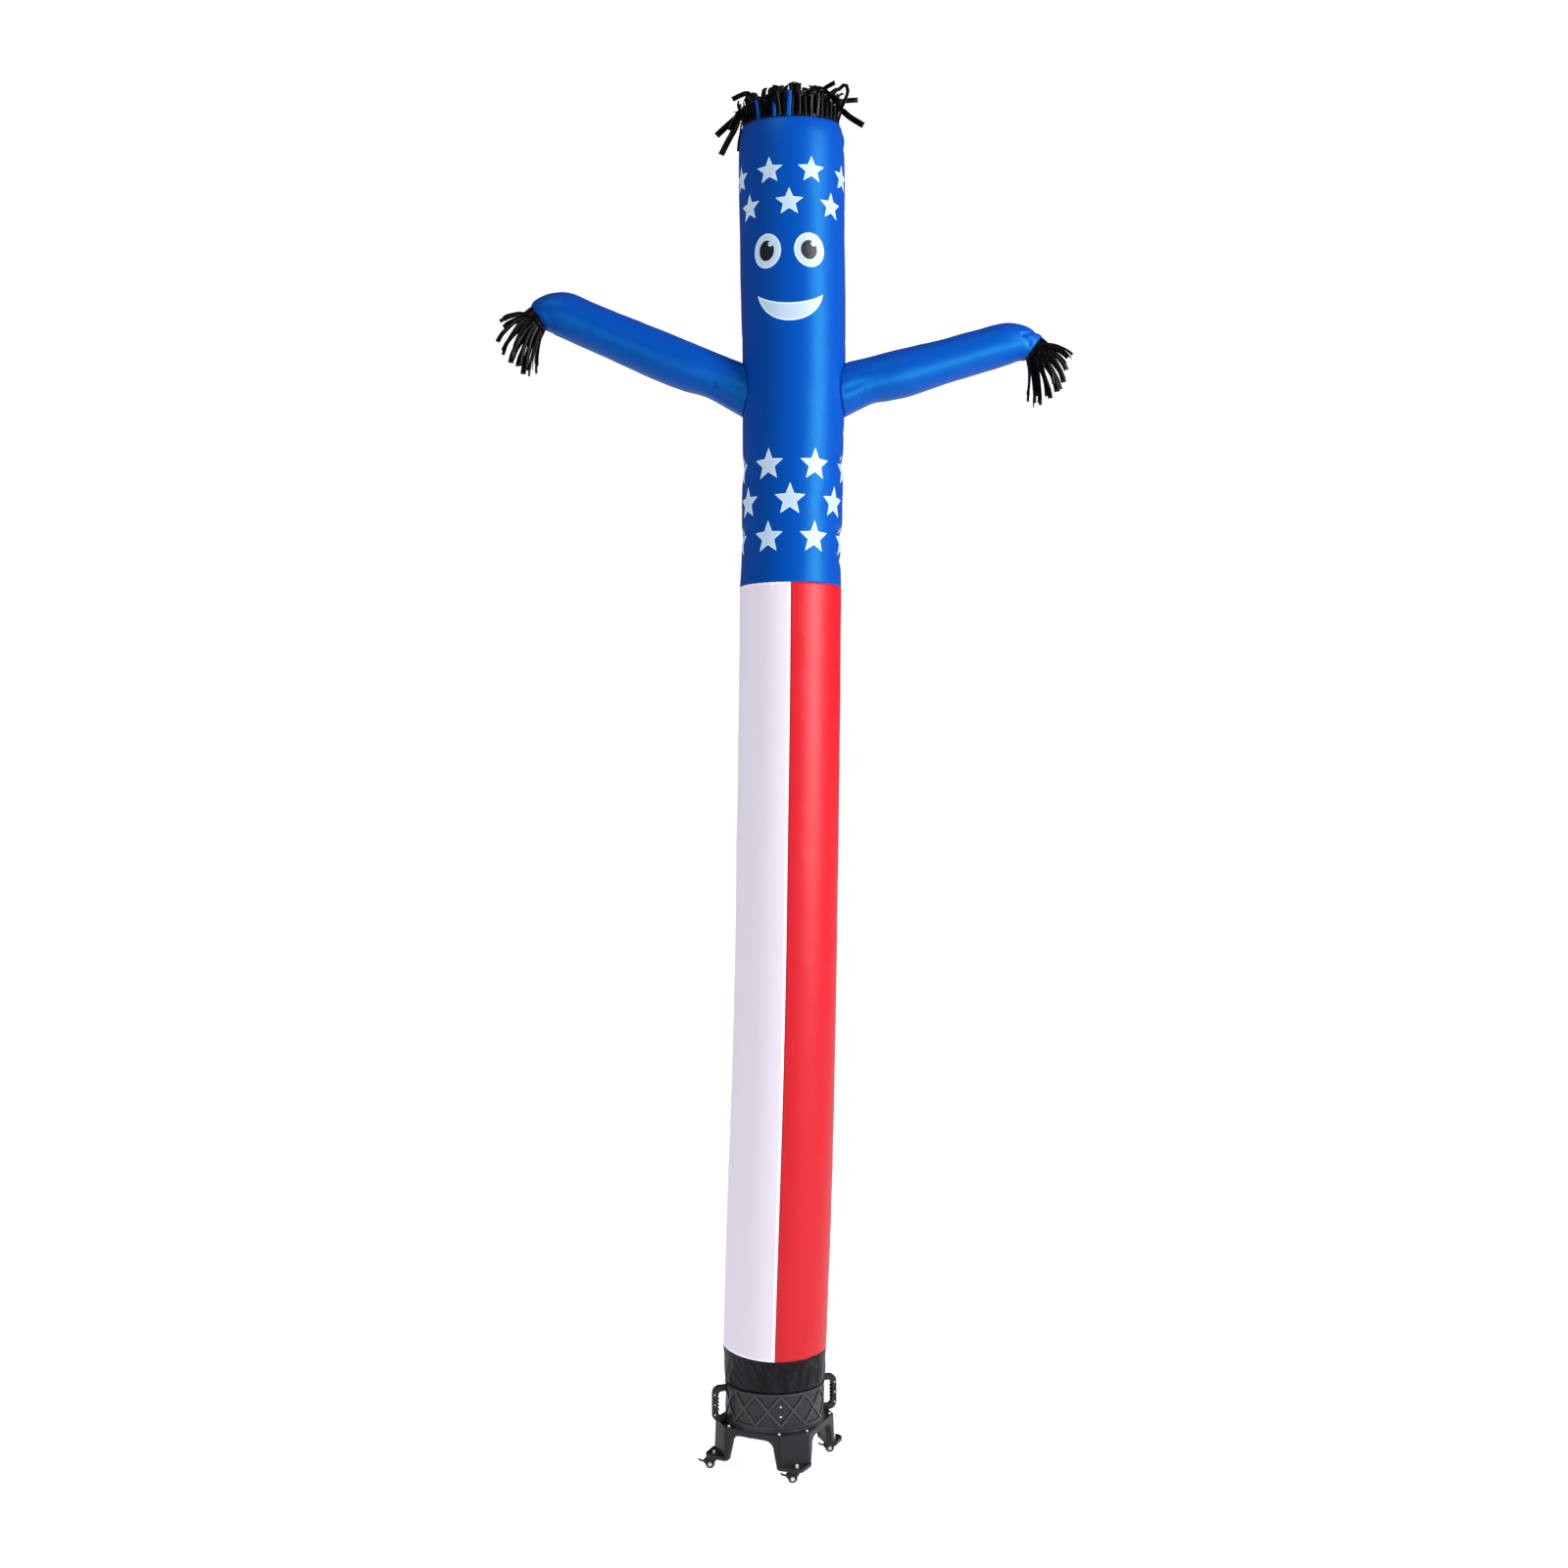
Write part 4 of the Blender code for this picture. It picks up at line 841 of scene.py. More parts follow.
def make_panels():
    """Four long quarters, white and red in turn, with felled seams between them."""
    low, high = SLEEVE_TOP + SEAM_GAP, PANEL_TOP - SEAM_GAP
    width, length = pi / 2 * BODY[0][2], high - low
    gap = SEAM_GAP / 2 / BODY[0][2]
    quarters = (("red", "front"), ("white", "back"), ("red", "back"), ("white", "front"))
    for quarter, (tint, face_side) in enumerate(quarters):

        def place(across, along, start=radians(90 * quarter - 90)):
            # The first and last columns sit close together, for a crisp hem.
            across -= 0.012 * sin(2 * pi * across)
            turn = start + gap + (pi / 2 - 2 * gap) * across
            foot = panel_foot(turn) + SEAM_GAP
            height = foot + (high - foot) * along
            side = min(across, 1 - across) * width
            end = min(along, 1 - along) * length
            return on_body(turn, height, hem_lift(side) + hem_lift(end))

        bm = laid_grid(48, 300, place, (width, length), (0, low))
        shade = bm.verts.layers.float_color.new("hem")
        for vert in bm.verts:
            vert[shade] = (0, 0, 0, 1)
        cut = bm.loops.layers.uv["cloth"]
        for face in bm.faces:
            for loop in face.loops:
                u, v = loop[cut].uv
                if min(u, width - u, v - low, high - v) < HEM_WIDTH + 0.001:
                    loop.vert[shade] = (1, 1, 1, 1)
        panel = new_piece(
            f"{tint}_panel_{face_side}", bm, f"{tint}_nylon",
            stands_for=[f"panel_{tint}_{face_side}"], wall=CLOTH,
        )


def in_arm_hole(spot, side):
    """True where the body's wall is cut away for an arm."""
    if side * (spot.x - 0.04) < 0.1:
        return False
    up = spot.z - ARM_ROOT_HEIGHT
    reach = ARM_ROOT_UP if up > 0 else ARM_ROOT_DOWN
    return (spot.y / ARM_ROOT_ACROSS) ** 2 + (up / reach) ** 2 < ARM_HOLE**2


def make_body_tube():
    """The printed tube from the panels' seam to the open rim."""
    low, high = PANEL_TOP, MOUTH_HEIGHT
    around = 2 * pi * PRINT_RADIUS

    def place(across, along):
        turn = -1.5 * pi + 2 * pi * across
        height = low + (high - low) * along
        return on_body(turn, height, hem_lift((high - height) * 0.5))

    flat = (around, high - low)
    bm = laid_grid(132, 290, place, flat, (-around / 2, low), closed=True)
    holes = [
        face
        for face in bm.faces
        if any(in_arm_hole(face.calc_center_median(), side) for side in (-1, 1))
    ]
    bmesh.ops.delete(bm, geom=holes, context="FACES")
    tube = new_piece(
        "printed_tube", bm, "printed_nylon", stands_for=["body_tube"], wall=CLOTH
    )


def make_sleeve():
    """Satin gathered down into the ring, with slanting folds."""
    low, high = SLEEVE[0][0], SLEEVE_TOP - SEAM_GAP
    around = 2 * pi * SLEEVE[-1][1]

    def place(across, along):
        turn = 2 * pi * across
        height = low + (panel_foot(turn) - SEAM_GAP - low) * along
        radius, gather = between(SLEEVE, min(height, SLEEVE_TOP))
        lean = turn + 2.6 * (high - height) * (0.6 + wobble(cos(turn), sin(turn), 0, 0.9, 5.0))
        wave = 1.3 * wobble(cos(lean), sin(lean), height * 0.8, 0.17, 1.0)
        wave += 0.5 * wobble(cos(lean), sin(lean), height, 0.07, 4.0)
        radius += gather * wave
        return Vector((SLEEVE_MIDDLE + radius * cos(turn), radius * sin(turn), height))

    flat = (around, high - low)
    bm = laid_grid(320, 64, place, flat, (0, low), closed=True)
    sleeve = new_piece(
        "sleeve_cloth", bm, "sleeve_satin", stands_for=["sleeve"], wall=CLOTH
    )


# ---------------------------------------------------------------- the arms
def arm_ring(row, side, turn):
    """A point on one of an arm's sections."""
    x, height, radius, slope = row
    lean = radians(slope) * side
    up = Vector((-sin(lean), 0, cos(lean)))
    return Vector((x, radius * cos(turn), height)) + radius * sin(turn) * up


def arm_foot(side, turn):
    """A point on the arm's flared end, on the body's round wall."""
    reach = ARM_ROOT_UP if sin(turn) > 0 else ARM_ROOT_DOWN
    height = ARM_ROOT_HEIGHT + reach * sin(turn)
    across = ARM_ROOT_ACROSS * cos(turn)
    middle, radius = between(BODY, height)
    out = sqrt((radius + 0.0012) ** 2 - across**2)
    return Vector((middle + side * out, across, height))


def crease_at(spot, side):
    """How deep the arm's creases go at a place on its front."""
    depth = 0.0
    for which, start, end, deepest, half in ARM_CREASES:
        if which == side and spot.y <= 0.02:
            away = beside(Vector((spot.x, spot.z)), Vector(start), Vector(end))[1]
            depth += deepest * exp(-((away / half) ** 2))
    return depth


def make_arm(name, node, table, side):
    """A tapering tube with folds where it leaves the body and at the folded cuff."""
    middles = [Vector((table[0][0] - side * 0.09, 0, ARM_ROOT_HEIGHT + 0.02))]
    middles += [Vector((row[0], 0, row[1])) for row in table]
    stations = lengths_along(middles)
    length = stations[-1]

    def place(across, along):
        turn = 2 * pi * across
        distance = along * length
        rows = [(0.0, arm_foot(side, turn), middles[0])]
        for station, row, middle in zip(stations[1:], table, middles[1:]):
            rows.append((station, arm_ring(row, side, turn), middle))
        spot, middle = between(rows, distance)
        out = (spot - middle).normalized()
        near = exp(-distance / 0.07) * (1 - exp(-distance / 0.02))
        folds = 0.0055 * near * sin(9 * turn + 1.5 * wobble(cos(turn), sin(turn), 0, 0.4))
        uneven = 0.0014 * wobble(spot.x, spot.y, spot.z, 0.11) + 0.0007 * wobble(*spot, 0.04)
        cuff = length - distance
        hem = 0.0008 if 0.001 < cuff < 0.022 else 0.0
        gather = 0.0011 * exp(-cuff / 0.025) * sin(16 * turn) * (cuff > 0.002)
        return spot + out * (folds + uneven + hem + gather - crease_at(spot, side))

    flat = (2 * pi * ARM_RADIUS, length)
    bm = laid_grid(72, 150, place, flat, closed=True)
    face_outwards(bm)
    arm = new_piece(name, bm, "blue_nylon", stands_for=[node], wall=CLOTH)


# ---------------------------------------------------------------- the strips
def lay_strip(whole, path, width, curl, steps_across=3):
    """One strip along a path of (middle, side direction, outward direction)."""
    bm = bmesh.new()
    last = len(path) - 1
    bmesh.ops.create_grid(bm, x_segments=steps_across, y_segments=last, size=0.5)
    for vert in bm.verts:
        across = vert.co.x
        middle, side, out = path[round((vert.co.y + 0.5) * last)]
        cup = curl * (0.25 - across**2) * width
        vert.co = middle + side * across * width + out * cup
    face_outwards(bm)
    strip = bpy.data.meshes.new("strip")
    bm.to_mesh(strip)
    bm.free()
    whole.from_mesh(strip)
    bpy.data.meshes.remove(strip)


def hair_habit(degrees, index):
    """Length, lean at the root and bend of one hair strip, in metres and degrees."""
    length, lean, bend = between(HAIR, (degrees + 90) % 360 - 90)
    length *= 1 + 0.04 * sin(index * 2.4) + 0.02 * sin(index * 5.1 + 1)
    bend += 10 * sin(index * 3.7 + 0.5)
    lean += 3.0 * sin(index * 1.9)
    return length, lean, bend


def head_spot(turn, radius, height):
    middle, _ = between(BODY, MOUTH_HEIGHT)
    nod = MOUTH_DIP * sin(turn) + HEAD_ROLL * cos(turn)
    return Vector((middle + radius * cos(turn), radius * sin(turn), height + nod))


def hair_path(turn, radius, length, lean, bend, seed, most=HAIR_FOLD, steps=10):
    """Up from the band, then over; each strip also twists and kinks a little."""
    radial = Vector((cos(turn), sin(turn), 0))
    side = Vector((-sin(turn), cos(turn), 0))
    spot = head_spot(turn, radius, MOUTH_HEIGHT + 0.002)
    path = []
    for step in range(steps + 1):
        share = step / steps
        fold = most * max(0.0, share - 0.62) / 0.38 * (-1 if sin(seed * 4.7) > -0.6 else 1)
        angle = radians(lean + bend * share**1.3 + 5 * share * sin(seed * 3 + share * 7) + fold)
        sway = 0.16 * share * sin(seed * 1.7 + share * 4)
        along = (radial * sin(angle) + Vector((0, 0, 1)) * cos(angle) + side * sway).normalized()
        twist = radians(22) * share * sin(seed * 2.3)
        path.append(strip_station(spot, along, side, radial, twist))
        spot = spot + along * length / steps
    return path


def strip_station(spot, along, side, outward, twist):
    """Middle, width direction and outward direction of a strip at one place."""
    wide = (side - along * side.dot(along)).normalized()
    out = wide.cross(along)
    if out.dot(outward) < 0:
        out = -out
    return (
        spot.copy(), wide * cos(twist) + out * sin(twist), out * cos(twist) - wide * sin(twist)
    )


def path_through(points, steps):
    """Even places along a smooth line through points, each with the way it heads there."""
    rows = list(zip(lengths_along(points), points))
    length = rows[-1][0]
    spots = [between(rows, length * step / steps)[0] for step in range(steps + 1)]
    path = []
    for i, spot in enumerate(spots):
        path.append((spot, (spots[min(i + 1, steps)] - spots[max(i - 1, 0)]).normalized()))
    return path


def flop_path(direction, twist, way):
    """Up out of the band, then down over the rim and twisting towards the tip."""
    turn = radians(direction)
    side = Vector((-sin(turn), cos(turn), 0))
    outward = Vector((cos(turn), sin(turn), 0))
    points = [head_spot(turn, reach, height) for reach, height in (HAIR_ROOT, *way)]
    path = []
    for step, (spot, along) in enumerate(path_through(points, FLOP_STEPS)):
        angle = radians(twist) * min(1.0, 2 * step / FLOP_STEPS)
        path.append(strip_station(spot, along, side, outward, angle))
        outward = strip_station(spot, along, side, outward, 0)[2]
    return path


def make_hair():
    """Black strips round the inside of the rim, standing and flopping over."""
    rim = between(BODY, MOUTH_HEIGHT)[1]
    radius = (rim - CLOTH) * cos(pi / BODY_SIDES) - 0.0012
    around = 2 * pi * radius

    def band(across, along):
        turn = 2 * pi * across
        return head_spot(turn, radius, MOUTH_HEIGHT - 0.004 + HAIR_BAND * along)

    bm = laid_grid(176, 4, band, (around, HAIR_BAND), closed=True)
    blue = bmesh.new()
    for degrees, length, wide in BLUE_STRIPS:
        _, lean, bend = between(HAIR, (degrees + 90) % 360 - 90)
        path = hair_path(radians(degrees), radius + 0.0022, length, lean, bend, 0, 0)
        lay_strip(blue, path, wide, 0.2)
    for index in range(HAIR_STRIPS):
        degrees = 360 * index / HAIR_STRIPS
        length, lean, bend = hair_habit(degrees, index)
        path = hair_path(
            radians(degrees), radius - 0.0008, length + 0.012, lean, bend, index * 1.13
        )
        lay_strip(bm, path, HAIR_WIDTH * (0.92 + 0.12 * sin(index * 4.1)), 0.35)
    # A second, shorter layer fills in between and behind.
    for index in range(HAIR_STRIPS):
        degrees = 360 * (index + 0.5) / HAIR_STRIPS
        length, lean, bend = hair_habit(degrees, index * 1.7 + 3)
        length *= 0.88 + 0.10 * sin(index * 2.9)
        path = hair_path(radians(degrees), radius - 0.003, length, lean - 3, bend, index * 2.7)
        lay_strip(bm, path, HAIR_WIDTH * (0.88 + 0.16 * sin(index * 1.7)), -0.3)
    for direction, width, twist, way in HAIR_FLOPS:
        lay_strip(bm, flop_path(direction, twist, way), width, 0.3)
    hair = new_piece(
        "hair_strips", bm, "glossy_strips", stands_for=["hair"], wall=STRIP
    )
    odd = new_piece("blue_hair_strips", blue, "blue_nylon", wall=STRIP)


def hand_strip(index, side, root, radial, tangent, forward, tip):
    """The way of one strip: on out of the band, then down to its tip."""
    reach = (tip - root).length
    bulge = root + forward * 0.45 * reach + radial * 0.05 * reach
    past = tip + Vector((side * -0.02, 0, 0.55 * reach))
    knee = bulge * 0.5 + past * 0.5
    points = [root, root * 0.45 + knee * 0.55, knee * 0.45 + tip * 0.55, tip]
    path = []
    outward = radial
    for step, (spot, along) in enumerate(path_through(points, HAND_STEPS)):
        share = step / HAND_STEPS
        twist = radians(26) * share * sin(index * 1.7 + side)
        path.append(strip_station(spot, along, tangent, outward, twist))
        outward = path[-1][2]
    return path, reach


def make_hand(name, node, table, side, tips):
    """A black band out of a cuff, cut into strips that reach on or hang down."""
    x, height, radius, slope = table[-1]
    outer = (radius - CLOTH) * cos(pi / ARM_SIDES) - 0.0010
    around = 2 * pi * outer
    across = Vector((0, 1, 0))

    def heading(drop):
        """Forward and up in the arm's plane, turned down by drop degrees."""
        angle = radians(drop)
        forward = Vector((side * cos(angle), 0, -sin(angle)))
        return forward, Vector((side * sin(angle), 0, cos(angle)))

    stations = []
    centre = Vector((x, 0, height))
    for number, (step, drop, grow) in enumerate(HAND_BAND):
        forward, up = heading(drop - slope)
        centre = centre + forward * step
        stations.append((number, centre.copy(), up, outer + grow))

    def band(share, along):
        turn = 2 * pi * share
        middle, up, ring = between(stations, along * (len(stations) - 1))
        ripple = 0.0012 * along * sin(HAND_STRIPS * turn)
        return middle + (ring + ripple) * (cos(turn) * up.normalized() + sin(turn) * across)

    bm = laid_grid(HAND_STRIPS * 5, 12, band, (around, HAND_BAND_LENGTH), closed=True)
    face_outwards(bm)
    end_middle, end_up, end_radius = stations[-1][1:]
    area = around * HAND_BAND_LENGTH
    for index in range(2 * HAND_STRIPS):
        under = index % 2
        turn = pi * index / HAND_STRIPS
        radial = cos(turn) * end_up + sin(turn) * across
        tangent = -sin(turn) * end_up + cos(turn) * across
        root = end_middle + (end_radius - 0.0008 - 0.0022 * under) * radial - forward * 0.006
        out, tip_height = tips[round((1 - cos(turn)) / 2 * (len(tips) - 1))]
        out += 0.006 * sin(index * 5.3 + side)
        tip_height += 0.006 * sin(index * 3.1)
        aside = sin(turn) * (end_radius + 0.016 + 0.010 * sin(index * 1.3))
        tip = Vector((side * out, aside, tip_height))
        tip = root + (tip - root) * (0.99 + 0.02 * sin(index * 2.9 + side) - 0.10 * under)
        path, reach = hand_strip(index, side, root, radial, tangent, forward, tip)
        wide = HAND_WIDTH * (0.92 + 0.10 * sin(index * 2.3))
        lay_strip(bm, path, wide, 0.3)
        area += wide * reach
    hand = new_piece(name, bm, "glossy_strips", stands_for=[node], wall=STRIP)


# ---------------------------------------------------------------- the blower's mouldings
STAND_PLACE = moved(*STAND_AXIS) @ turned(STAND_TURN)
RING_PLACE = moved(*STAND_AXIS) @ turned(RING_TURN)


def turned_profile(points, steps, closed=True):
    """A (radius, height) outline spun all the way round the Z axis."""
    bm = bmesh.new()
    verts = [bm.verts.new((r, 0, h)) for r, h in points]
    ends = zip(verts, verts[1:] + verts[:1]) if closed else zip(verts, verts[1:])
    edges = [bm.edges.new(pair) for pair in ends]
    bmesh.ops.spin(
        bm, geom=verts + edges, cent=(0, 0, 0), axis=(0, 0, 1), angle=2 * pi, steps=steps,
        use_merge=True,
    )
    bmesh.ops.remove_doubles(bm, verts=bm.verts, dist=1e-6)
    face_outwards(bm)
    return bm


def arc(centre, radius, start, end, steps):
    turns = [radians(start + (end - start) * i / steps) for i in range(steps + 1)]
    return [(centre[0] + radius * cos(a), centre[1] + radius * sin(a)) for a in turns]


def put_together(shapes):
    """Several bmeshes as one; each keeps its own shell."""
    whole = bmesh.new()
    for shape in shapes:
        mesh = bpy.data.meshes.new("shape")
        shape.to_mesh(mesh)
        shape.free()
        whole.from_mesh(mesh)
        bpy.data.meshes.remove(mesh)
    return whole


def lattice_bar(rib, wall, width, height, tone):
    """One of the ring's slanting bars, bent round its wall, with its edges rounded."""
    low, high = LATTICE_LOW - 0.002, LATTICE_HIGH + 0.003
    rising = 1 if rib % 2 else -1
    bm = bmesh.new()
    bmesh.ops.create_cube(bm, size=1)
    long_edges = [e for e in bm.edges if abs(e.verts[0].co.x - e.verts[1].co.x) > 0.5]
    bmesh.ops.subdivide_edges(bm, edges=long_edges, cuts=19, use_grid_fill=True)
    proud = [
        e for e in bm.edges if all(v.co.z > 0.49 and abs(v.co.y) > 0.49 for v in e.verts)
    ]
    painted_light_and_shade = bm.verts.layers.float_color.new("painted_light_and_shade")
    # Painted light: the bar's top takes the given level, its sides and foot three tenths of it,
    # darker as painted shade.
    for vert in bm.verts:
        vert[painted_light_and_shade] = (*3 * (tone if vert.co.z > 0 else 0.3 * tone,), 1)
        vert.co.y *= width
        vert.co.z = wall - BAR_ROOT + (vert.co.z + 0.5) * (height + BAR_ROOT)
    round_edges(bm, proud, min(0.0016, 0.6 * height), 3)
    sweep = 2 * pi / CROSSES
    slope = atan((high - low) / (sweep * RING_OUTSIDE))
    middle_turn = pi / 48 - pi / CROSSES + (rib // 2 + 0.5) * sweep
    # The falling bars lie a hair lower, so that no two faces share a place.
    sink = 0.0 if rising > 0 else 0.00015
    for vert in bm.verts:
        along = vert.co.x * (high - low) / sin(slope)
        around = along * cos(slope) - vert.co.y * sin(slope)
        turn = middle_turn + rising * around / RING_OUTSIDE
        level = (low + high) / 2 + along * sin(slope) + vert.co.y * cos(slope)
        reach = vert.co.z - sink
        vert.co = Vector((reach * cos(turn), reach * sin(turn), level))
    face_outwards(bm)
    return bm


def make_ring():
    """The round housing: rolled lip, sunk wall, crossing ribs and a foot flange."""
    foot, outside = DECK_TOP + FIT_GAP, RING_OUTSIDE
    wall = outside - RIB_HEIGHT
    lip = outside + 0.002
    profile = [(RING_INNER, foot), (outside + 0.004, foot), (outside + 0.004, foot + 0.004)]
    profile += arc((outside + 0.001, foot + 0.004), 0.003, 0, 90, 3)
    profile += [(outside - 0.0004, foot + 0.0078), (outside, foot + 0.010)]
    profile += [(outside, LATTICE_LOW - 0.003), (wall, LATTICE_LOW + 0.0005)]
    profile += [(wall, LATTICE_HIGH - 0.0005), (outside, LATTICE_HIGH + 0.002)]
    profile += [(outside, LATTICE_HIGH + 0.004), (lip, LATTICE_HIGH + 0.006)]
    profile += arc((lip - 0.003, RING_TOP - 0.003), 0.003, 0, 90, 4)
    profile += arc((RING_INNER + 0.002, RING_TOP - 0.002), 0.002, 90, 180, 3)
    housing = turned_profile(profile, 192)
    # Painted light and shade: the lip above the lattice is painted paler as a highlight, the
    # sunk wall between the ribs darker as shade.
    painted_light_and_shade = housing.verts.layers.float_color.new("painted_light_and_shade")
    for vert in housing.verts:
        if vert.co.z > LATTICE_HIGH + 0.005:
            tone = 0.85
        else:
            tone = 0.36 if LATTICE_LOW < vert.co.z < LATTICE_HIGH else 0.55
        vert[painted_light_and_shade] = (tone, tone, tone, 1)

    shapes = [housing]
    # Under each rib lies a wider, lower skirt, painted darkest: painted shade along the rib's
    # foot.
    for rib in range(2 * CROSSES):
        shapes.append(lattice_bar(rib, wall, RIB_WIDTH + 0.0080, 0.0008, 0.0))
        shapes.append(lattice_bar(rib, wall, RIB_WIDTH, RIB_HEIGHT - 0.0002, 0.8))
    bm = put_together(shapes)
    bm.transform(RING_PLACE)
    new_piece(
        "ring_housing", bm, "ring_plastic_painted_light", stands_for=["blower_ring"],
        sharp=35,
    )


def handle_outline():
    """The handle from the side, as (outward, height), open towards the ring."""
    root = RING_RADIUS + 0.0023
    foot_root = RING_RADIUS + 0.0048
    big, small = 0.034, 0.014
    grip = HANDLE_OUT - HANDLE_BAR
    inner_low = (grip - small, HANDLE_LOW + HANDLE_BAR + small)
    inner_high = (grip - small, HANDLE_HIGH - HANDLE_BAR - small)
    points = [(foot_root, HANDLE_LOW)]
    points += arc((HANDLE_OUT - big, HANDLE_LOW + big), big, -90, 0, 12)
    points += arc((HANDLE_OUT - big, HANDLE_HIGH - big), big, 0, 90, 12)
    points += [(root, HANDLE_HIGH), (root, HANDLE_HIGH - HANDLE_BAR)]
    points += arc(inner_high, small, 90, 0, 7)
    span = inner_high[1] - inner_low[1]
    steps = 8 * GRIPS
    for i in range(1, steps):
        scallop = -0.0005 - 0.0040 * cos(2 * pi * GRIPS * i / steps)
        points.append((grip + scallop, inner_high[1] - span * i / steps))
    points += arc(inner_low, small, 0, -90, 7)
    points.append((foot_root, HANDLE_LOW + HANDLE_BAR))
    return points


def make_handles():
    """Carry handles with finger scallops and small screws along the outer bar."""
    for side in ("left", "right"):
        place = RING_PLACE @ turned(LEGS[side])
        bm = bmesh.new()
        outline = [bm.verts.new((x, -HANDLE_HALF, z)) for x, z in handle_outline()]
        moved_part = bmesh.ops.extrude_face_region(bm, geom=[bm.faces.new(outline)])["geom"]
        raised = [item for item in moved_part if isinstance(item, bmesh.types.BMVert)]
        bmesh.ops.translate(bm, verts=raised, vec=(0, 2 * HANDLE_HALF, 0))
        face_outwards(bm)
        rims = [e for e in bm.edges if abs(e.verts[0].co.y - e.verts[1].co.y) < 1e-6]
        round_edges(bm, rims, 0.0024, 3)
        bm.transform(place)
        new_piece(
            f"carry_handle_{side}", bm, "moulded_plastic",
            stands_for=[f"handle_{side}"], sharp=40,
        )
        screws = []
        for number in range(3):
            height = HANDLE_LOW + SCREWS_FROM + number * SCREWS_APART
            for facing in (-1, 1):
                head = button_head(0.0036, 0.0018)
                spot = moved(HANDLE_OUT - 0.010, facing * HANDLE_HALF, height)
                head.transform(spot @ turned(-90 * facing, "X"))
                screws.append(head)
        bm = put_together(screws)
        bm.transform(place)
        new_piece(f"handle_screws_{side}", bm, "chrome_plate")


def button_head(radius, height):
    """A low round head that stands on Z = 0, slightly sunk."""
    steps = arc((0, 0), 1.0, 0, 90, 5)
    profile = [(0, -0.0004), (radius, -0.0004)]
    profile += [(radius * x, height * z) for x, z in steps[:-1]]
    profile.append((0, height))
    return turned_profile(profile, 20, closed=False)


def acorn_nut(radius, collar, height):
    """A hexagon nut with a domed cap, standing on Z = 0."""
    nut = bmesh.new()
    bmesh.ops.create_cone(
        nut, cap_ends=True, segments=6, radius1=radius, radius2=radius, depth=collar
    )
    bmesh.ops.translate(nut, verts=nut.verts, vec=(0, 0, collar / 2))
    round_edges(nut, nut.edges[:], radius * 0.08, 2)
    cap = [(0, collar * 0.8), (radius * 0.84, collar * 0.8), (radius * 0.84, collar)]
    cap += [
        (radius * 0.84 * x, collar + (height - collar) * z)
        for x, z in arc((0, 0), 1.0, 10, 80, 5)
    ]
    cap.append((0, height))
    return put_together([nut, turned_profile(cap, 24, closed=False)])


def make_deck_bolts():
    """Two chrome bolts beside the ring on each corner of the deck."""
    number = 0
    for degrees in LEGS.values():
        for side in (-1, 1):
            number += 1
            bm = acorn_nut(0.0068, 0.0026, 0.0078)
            spot = moved(BOLT_OUT, side * BOLT_ACROSS, DECK_TOP + FIT_GAP)
            bm.transform(STAND_PLACE @ (turned(degrees) @ spot))
            new_piece(
                f"chrome_bolt_{number}", bm, "chrome_plate",
                stands_for=[f"deck_bolt_{number}"], sharp=40,
            )


def make_boss():
    """The plain round boss in the front panel, and its two screws."""
    seat = RING_OUTSIDE - RIB_HEIGHT
    facing = radians(BOSS_TURN)
    lay = turned(BOSS_TURN) @ turned(90, "Y")

    def put(bm, step):
        out = moved(seat * cos(facing), seat * sin(facing), BOSS_HEIGHT + step)
        bm.transform(RING_PLACE @ out @ lay)
        return bm

    profile = [(0, -0.001), (BOSS_RADIUS, -0.001), (BOSS_RADIUS, 0.0016)]
    profile += arc((BOSS_RADIUS - 0.001, 0.0016), 0.001, 20, 90, 3)
    profile += [(BOSS_RADIUS - 0.003, 0.0022), (BOSS_RADIUS - 0.0036, 0.0016), (0, 0.0016)]
    boss = put(turned_profile(profile, 40, closed=False), 0)
    new_piece(
        "plain_boss", boss, "moulded_plastic", stands_for=["ring_boss"], sharp=40
    )
    for name, step in (("upper", SCREW_STEP), ("lower", -SCREW_STEP)):
        new_piece(
            f"boss_button_{name}", put(button_head(0.0045, 0.0030), step), "chrome_plate",
            stands_for=[f"boss_screw_{name}"],
        )


def softened(node, name, material, body, offset, segments, least=22):
    """A copy of a CAD moulding with its edges rounded, which stands for it."""
    bm = bmesh.new()
    bm.from_mesh(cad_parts[node].data)
    bmesh.ops.remove_doubles(bm, verts=bm.verts, dist=1e-5)
    bmesh.ops.dissolve_limit(bm, angle_limit=radians(1), verts=bm.verts, edges=bm.edges)
    sharp = [
        e
        for e in bm.edges
        if len(e.link_faces) == 2 and e.calc_face_angle(0.0) > radians(least)
    ]
    round_edges(bm, sharp, offset, segments, clamp_overlap=True)
    bmesh.ops.triangulate(bm, faces=[f for f in bm.faces if len(f.verts) > 4])
    return new_piece(name, bm, material, body=body, stands_for=[node], sharp=40)


def make_stand():
    softened("stand", "moulded_stand", "moulded_plastic", "base", 0.0022, 3)


def mirrored(outline):
    """Half of a wheel's outline, and its mirror image on the other side."""
    return outline + [(reach, -across) for reach, across in reversed(outline)]


def wheel_outlines():
    """The grooved tread and the hub, each as (radius, distance across)."""
    half, reach, groove = WHEEL_HALF, WHEEL_RADIUS, GROOVE_AT
    tread = [(HUB_RADIUS + 0.0001, -half), (reach - TYRE_ROUND, -half)]
    tread += arc((reach - TYRE_ROUND, TYRE_ROUND - half), TYRE_ROUND, -90, 0, 4)
    tread += [(reach, groove - 0.0006), (reach - GROOVE_DEPTH, groove - 0.0003)]
    tread += [(reach - GROOVE_DEPTH, groove + 0.0003), (reach, groove + 0.0006)]
    hub = [(0.0036, -half - 0.0004), (0.0062, -half - 0.0004), (0.0066, -half + 0.0012)]
    hub += [(0.0116, -half + 0.0012), (0.0122, -half), (HUB_RADIUS, -half)]
    return mirrored(tread), mirrored(hub)


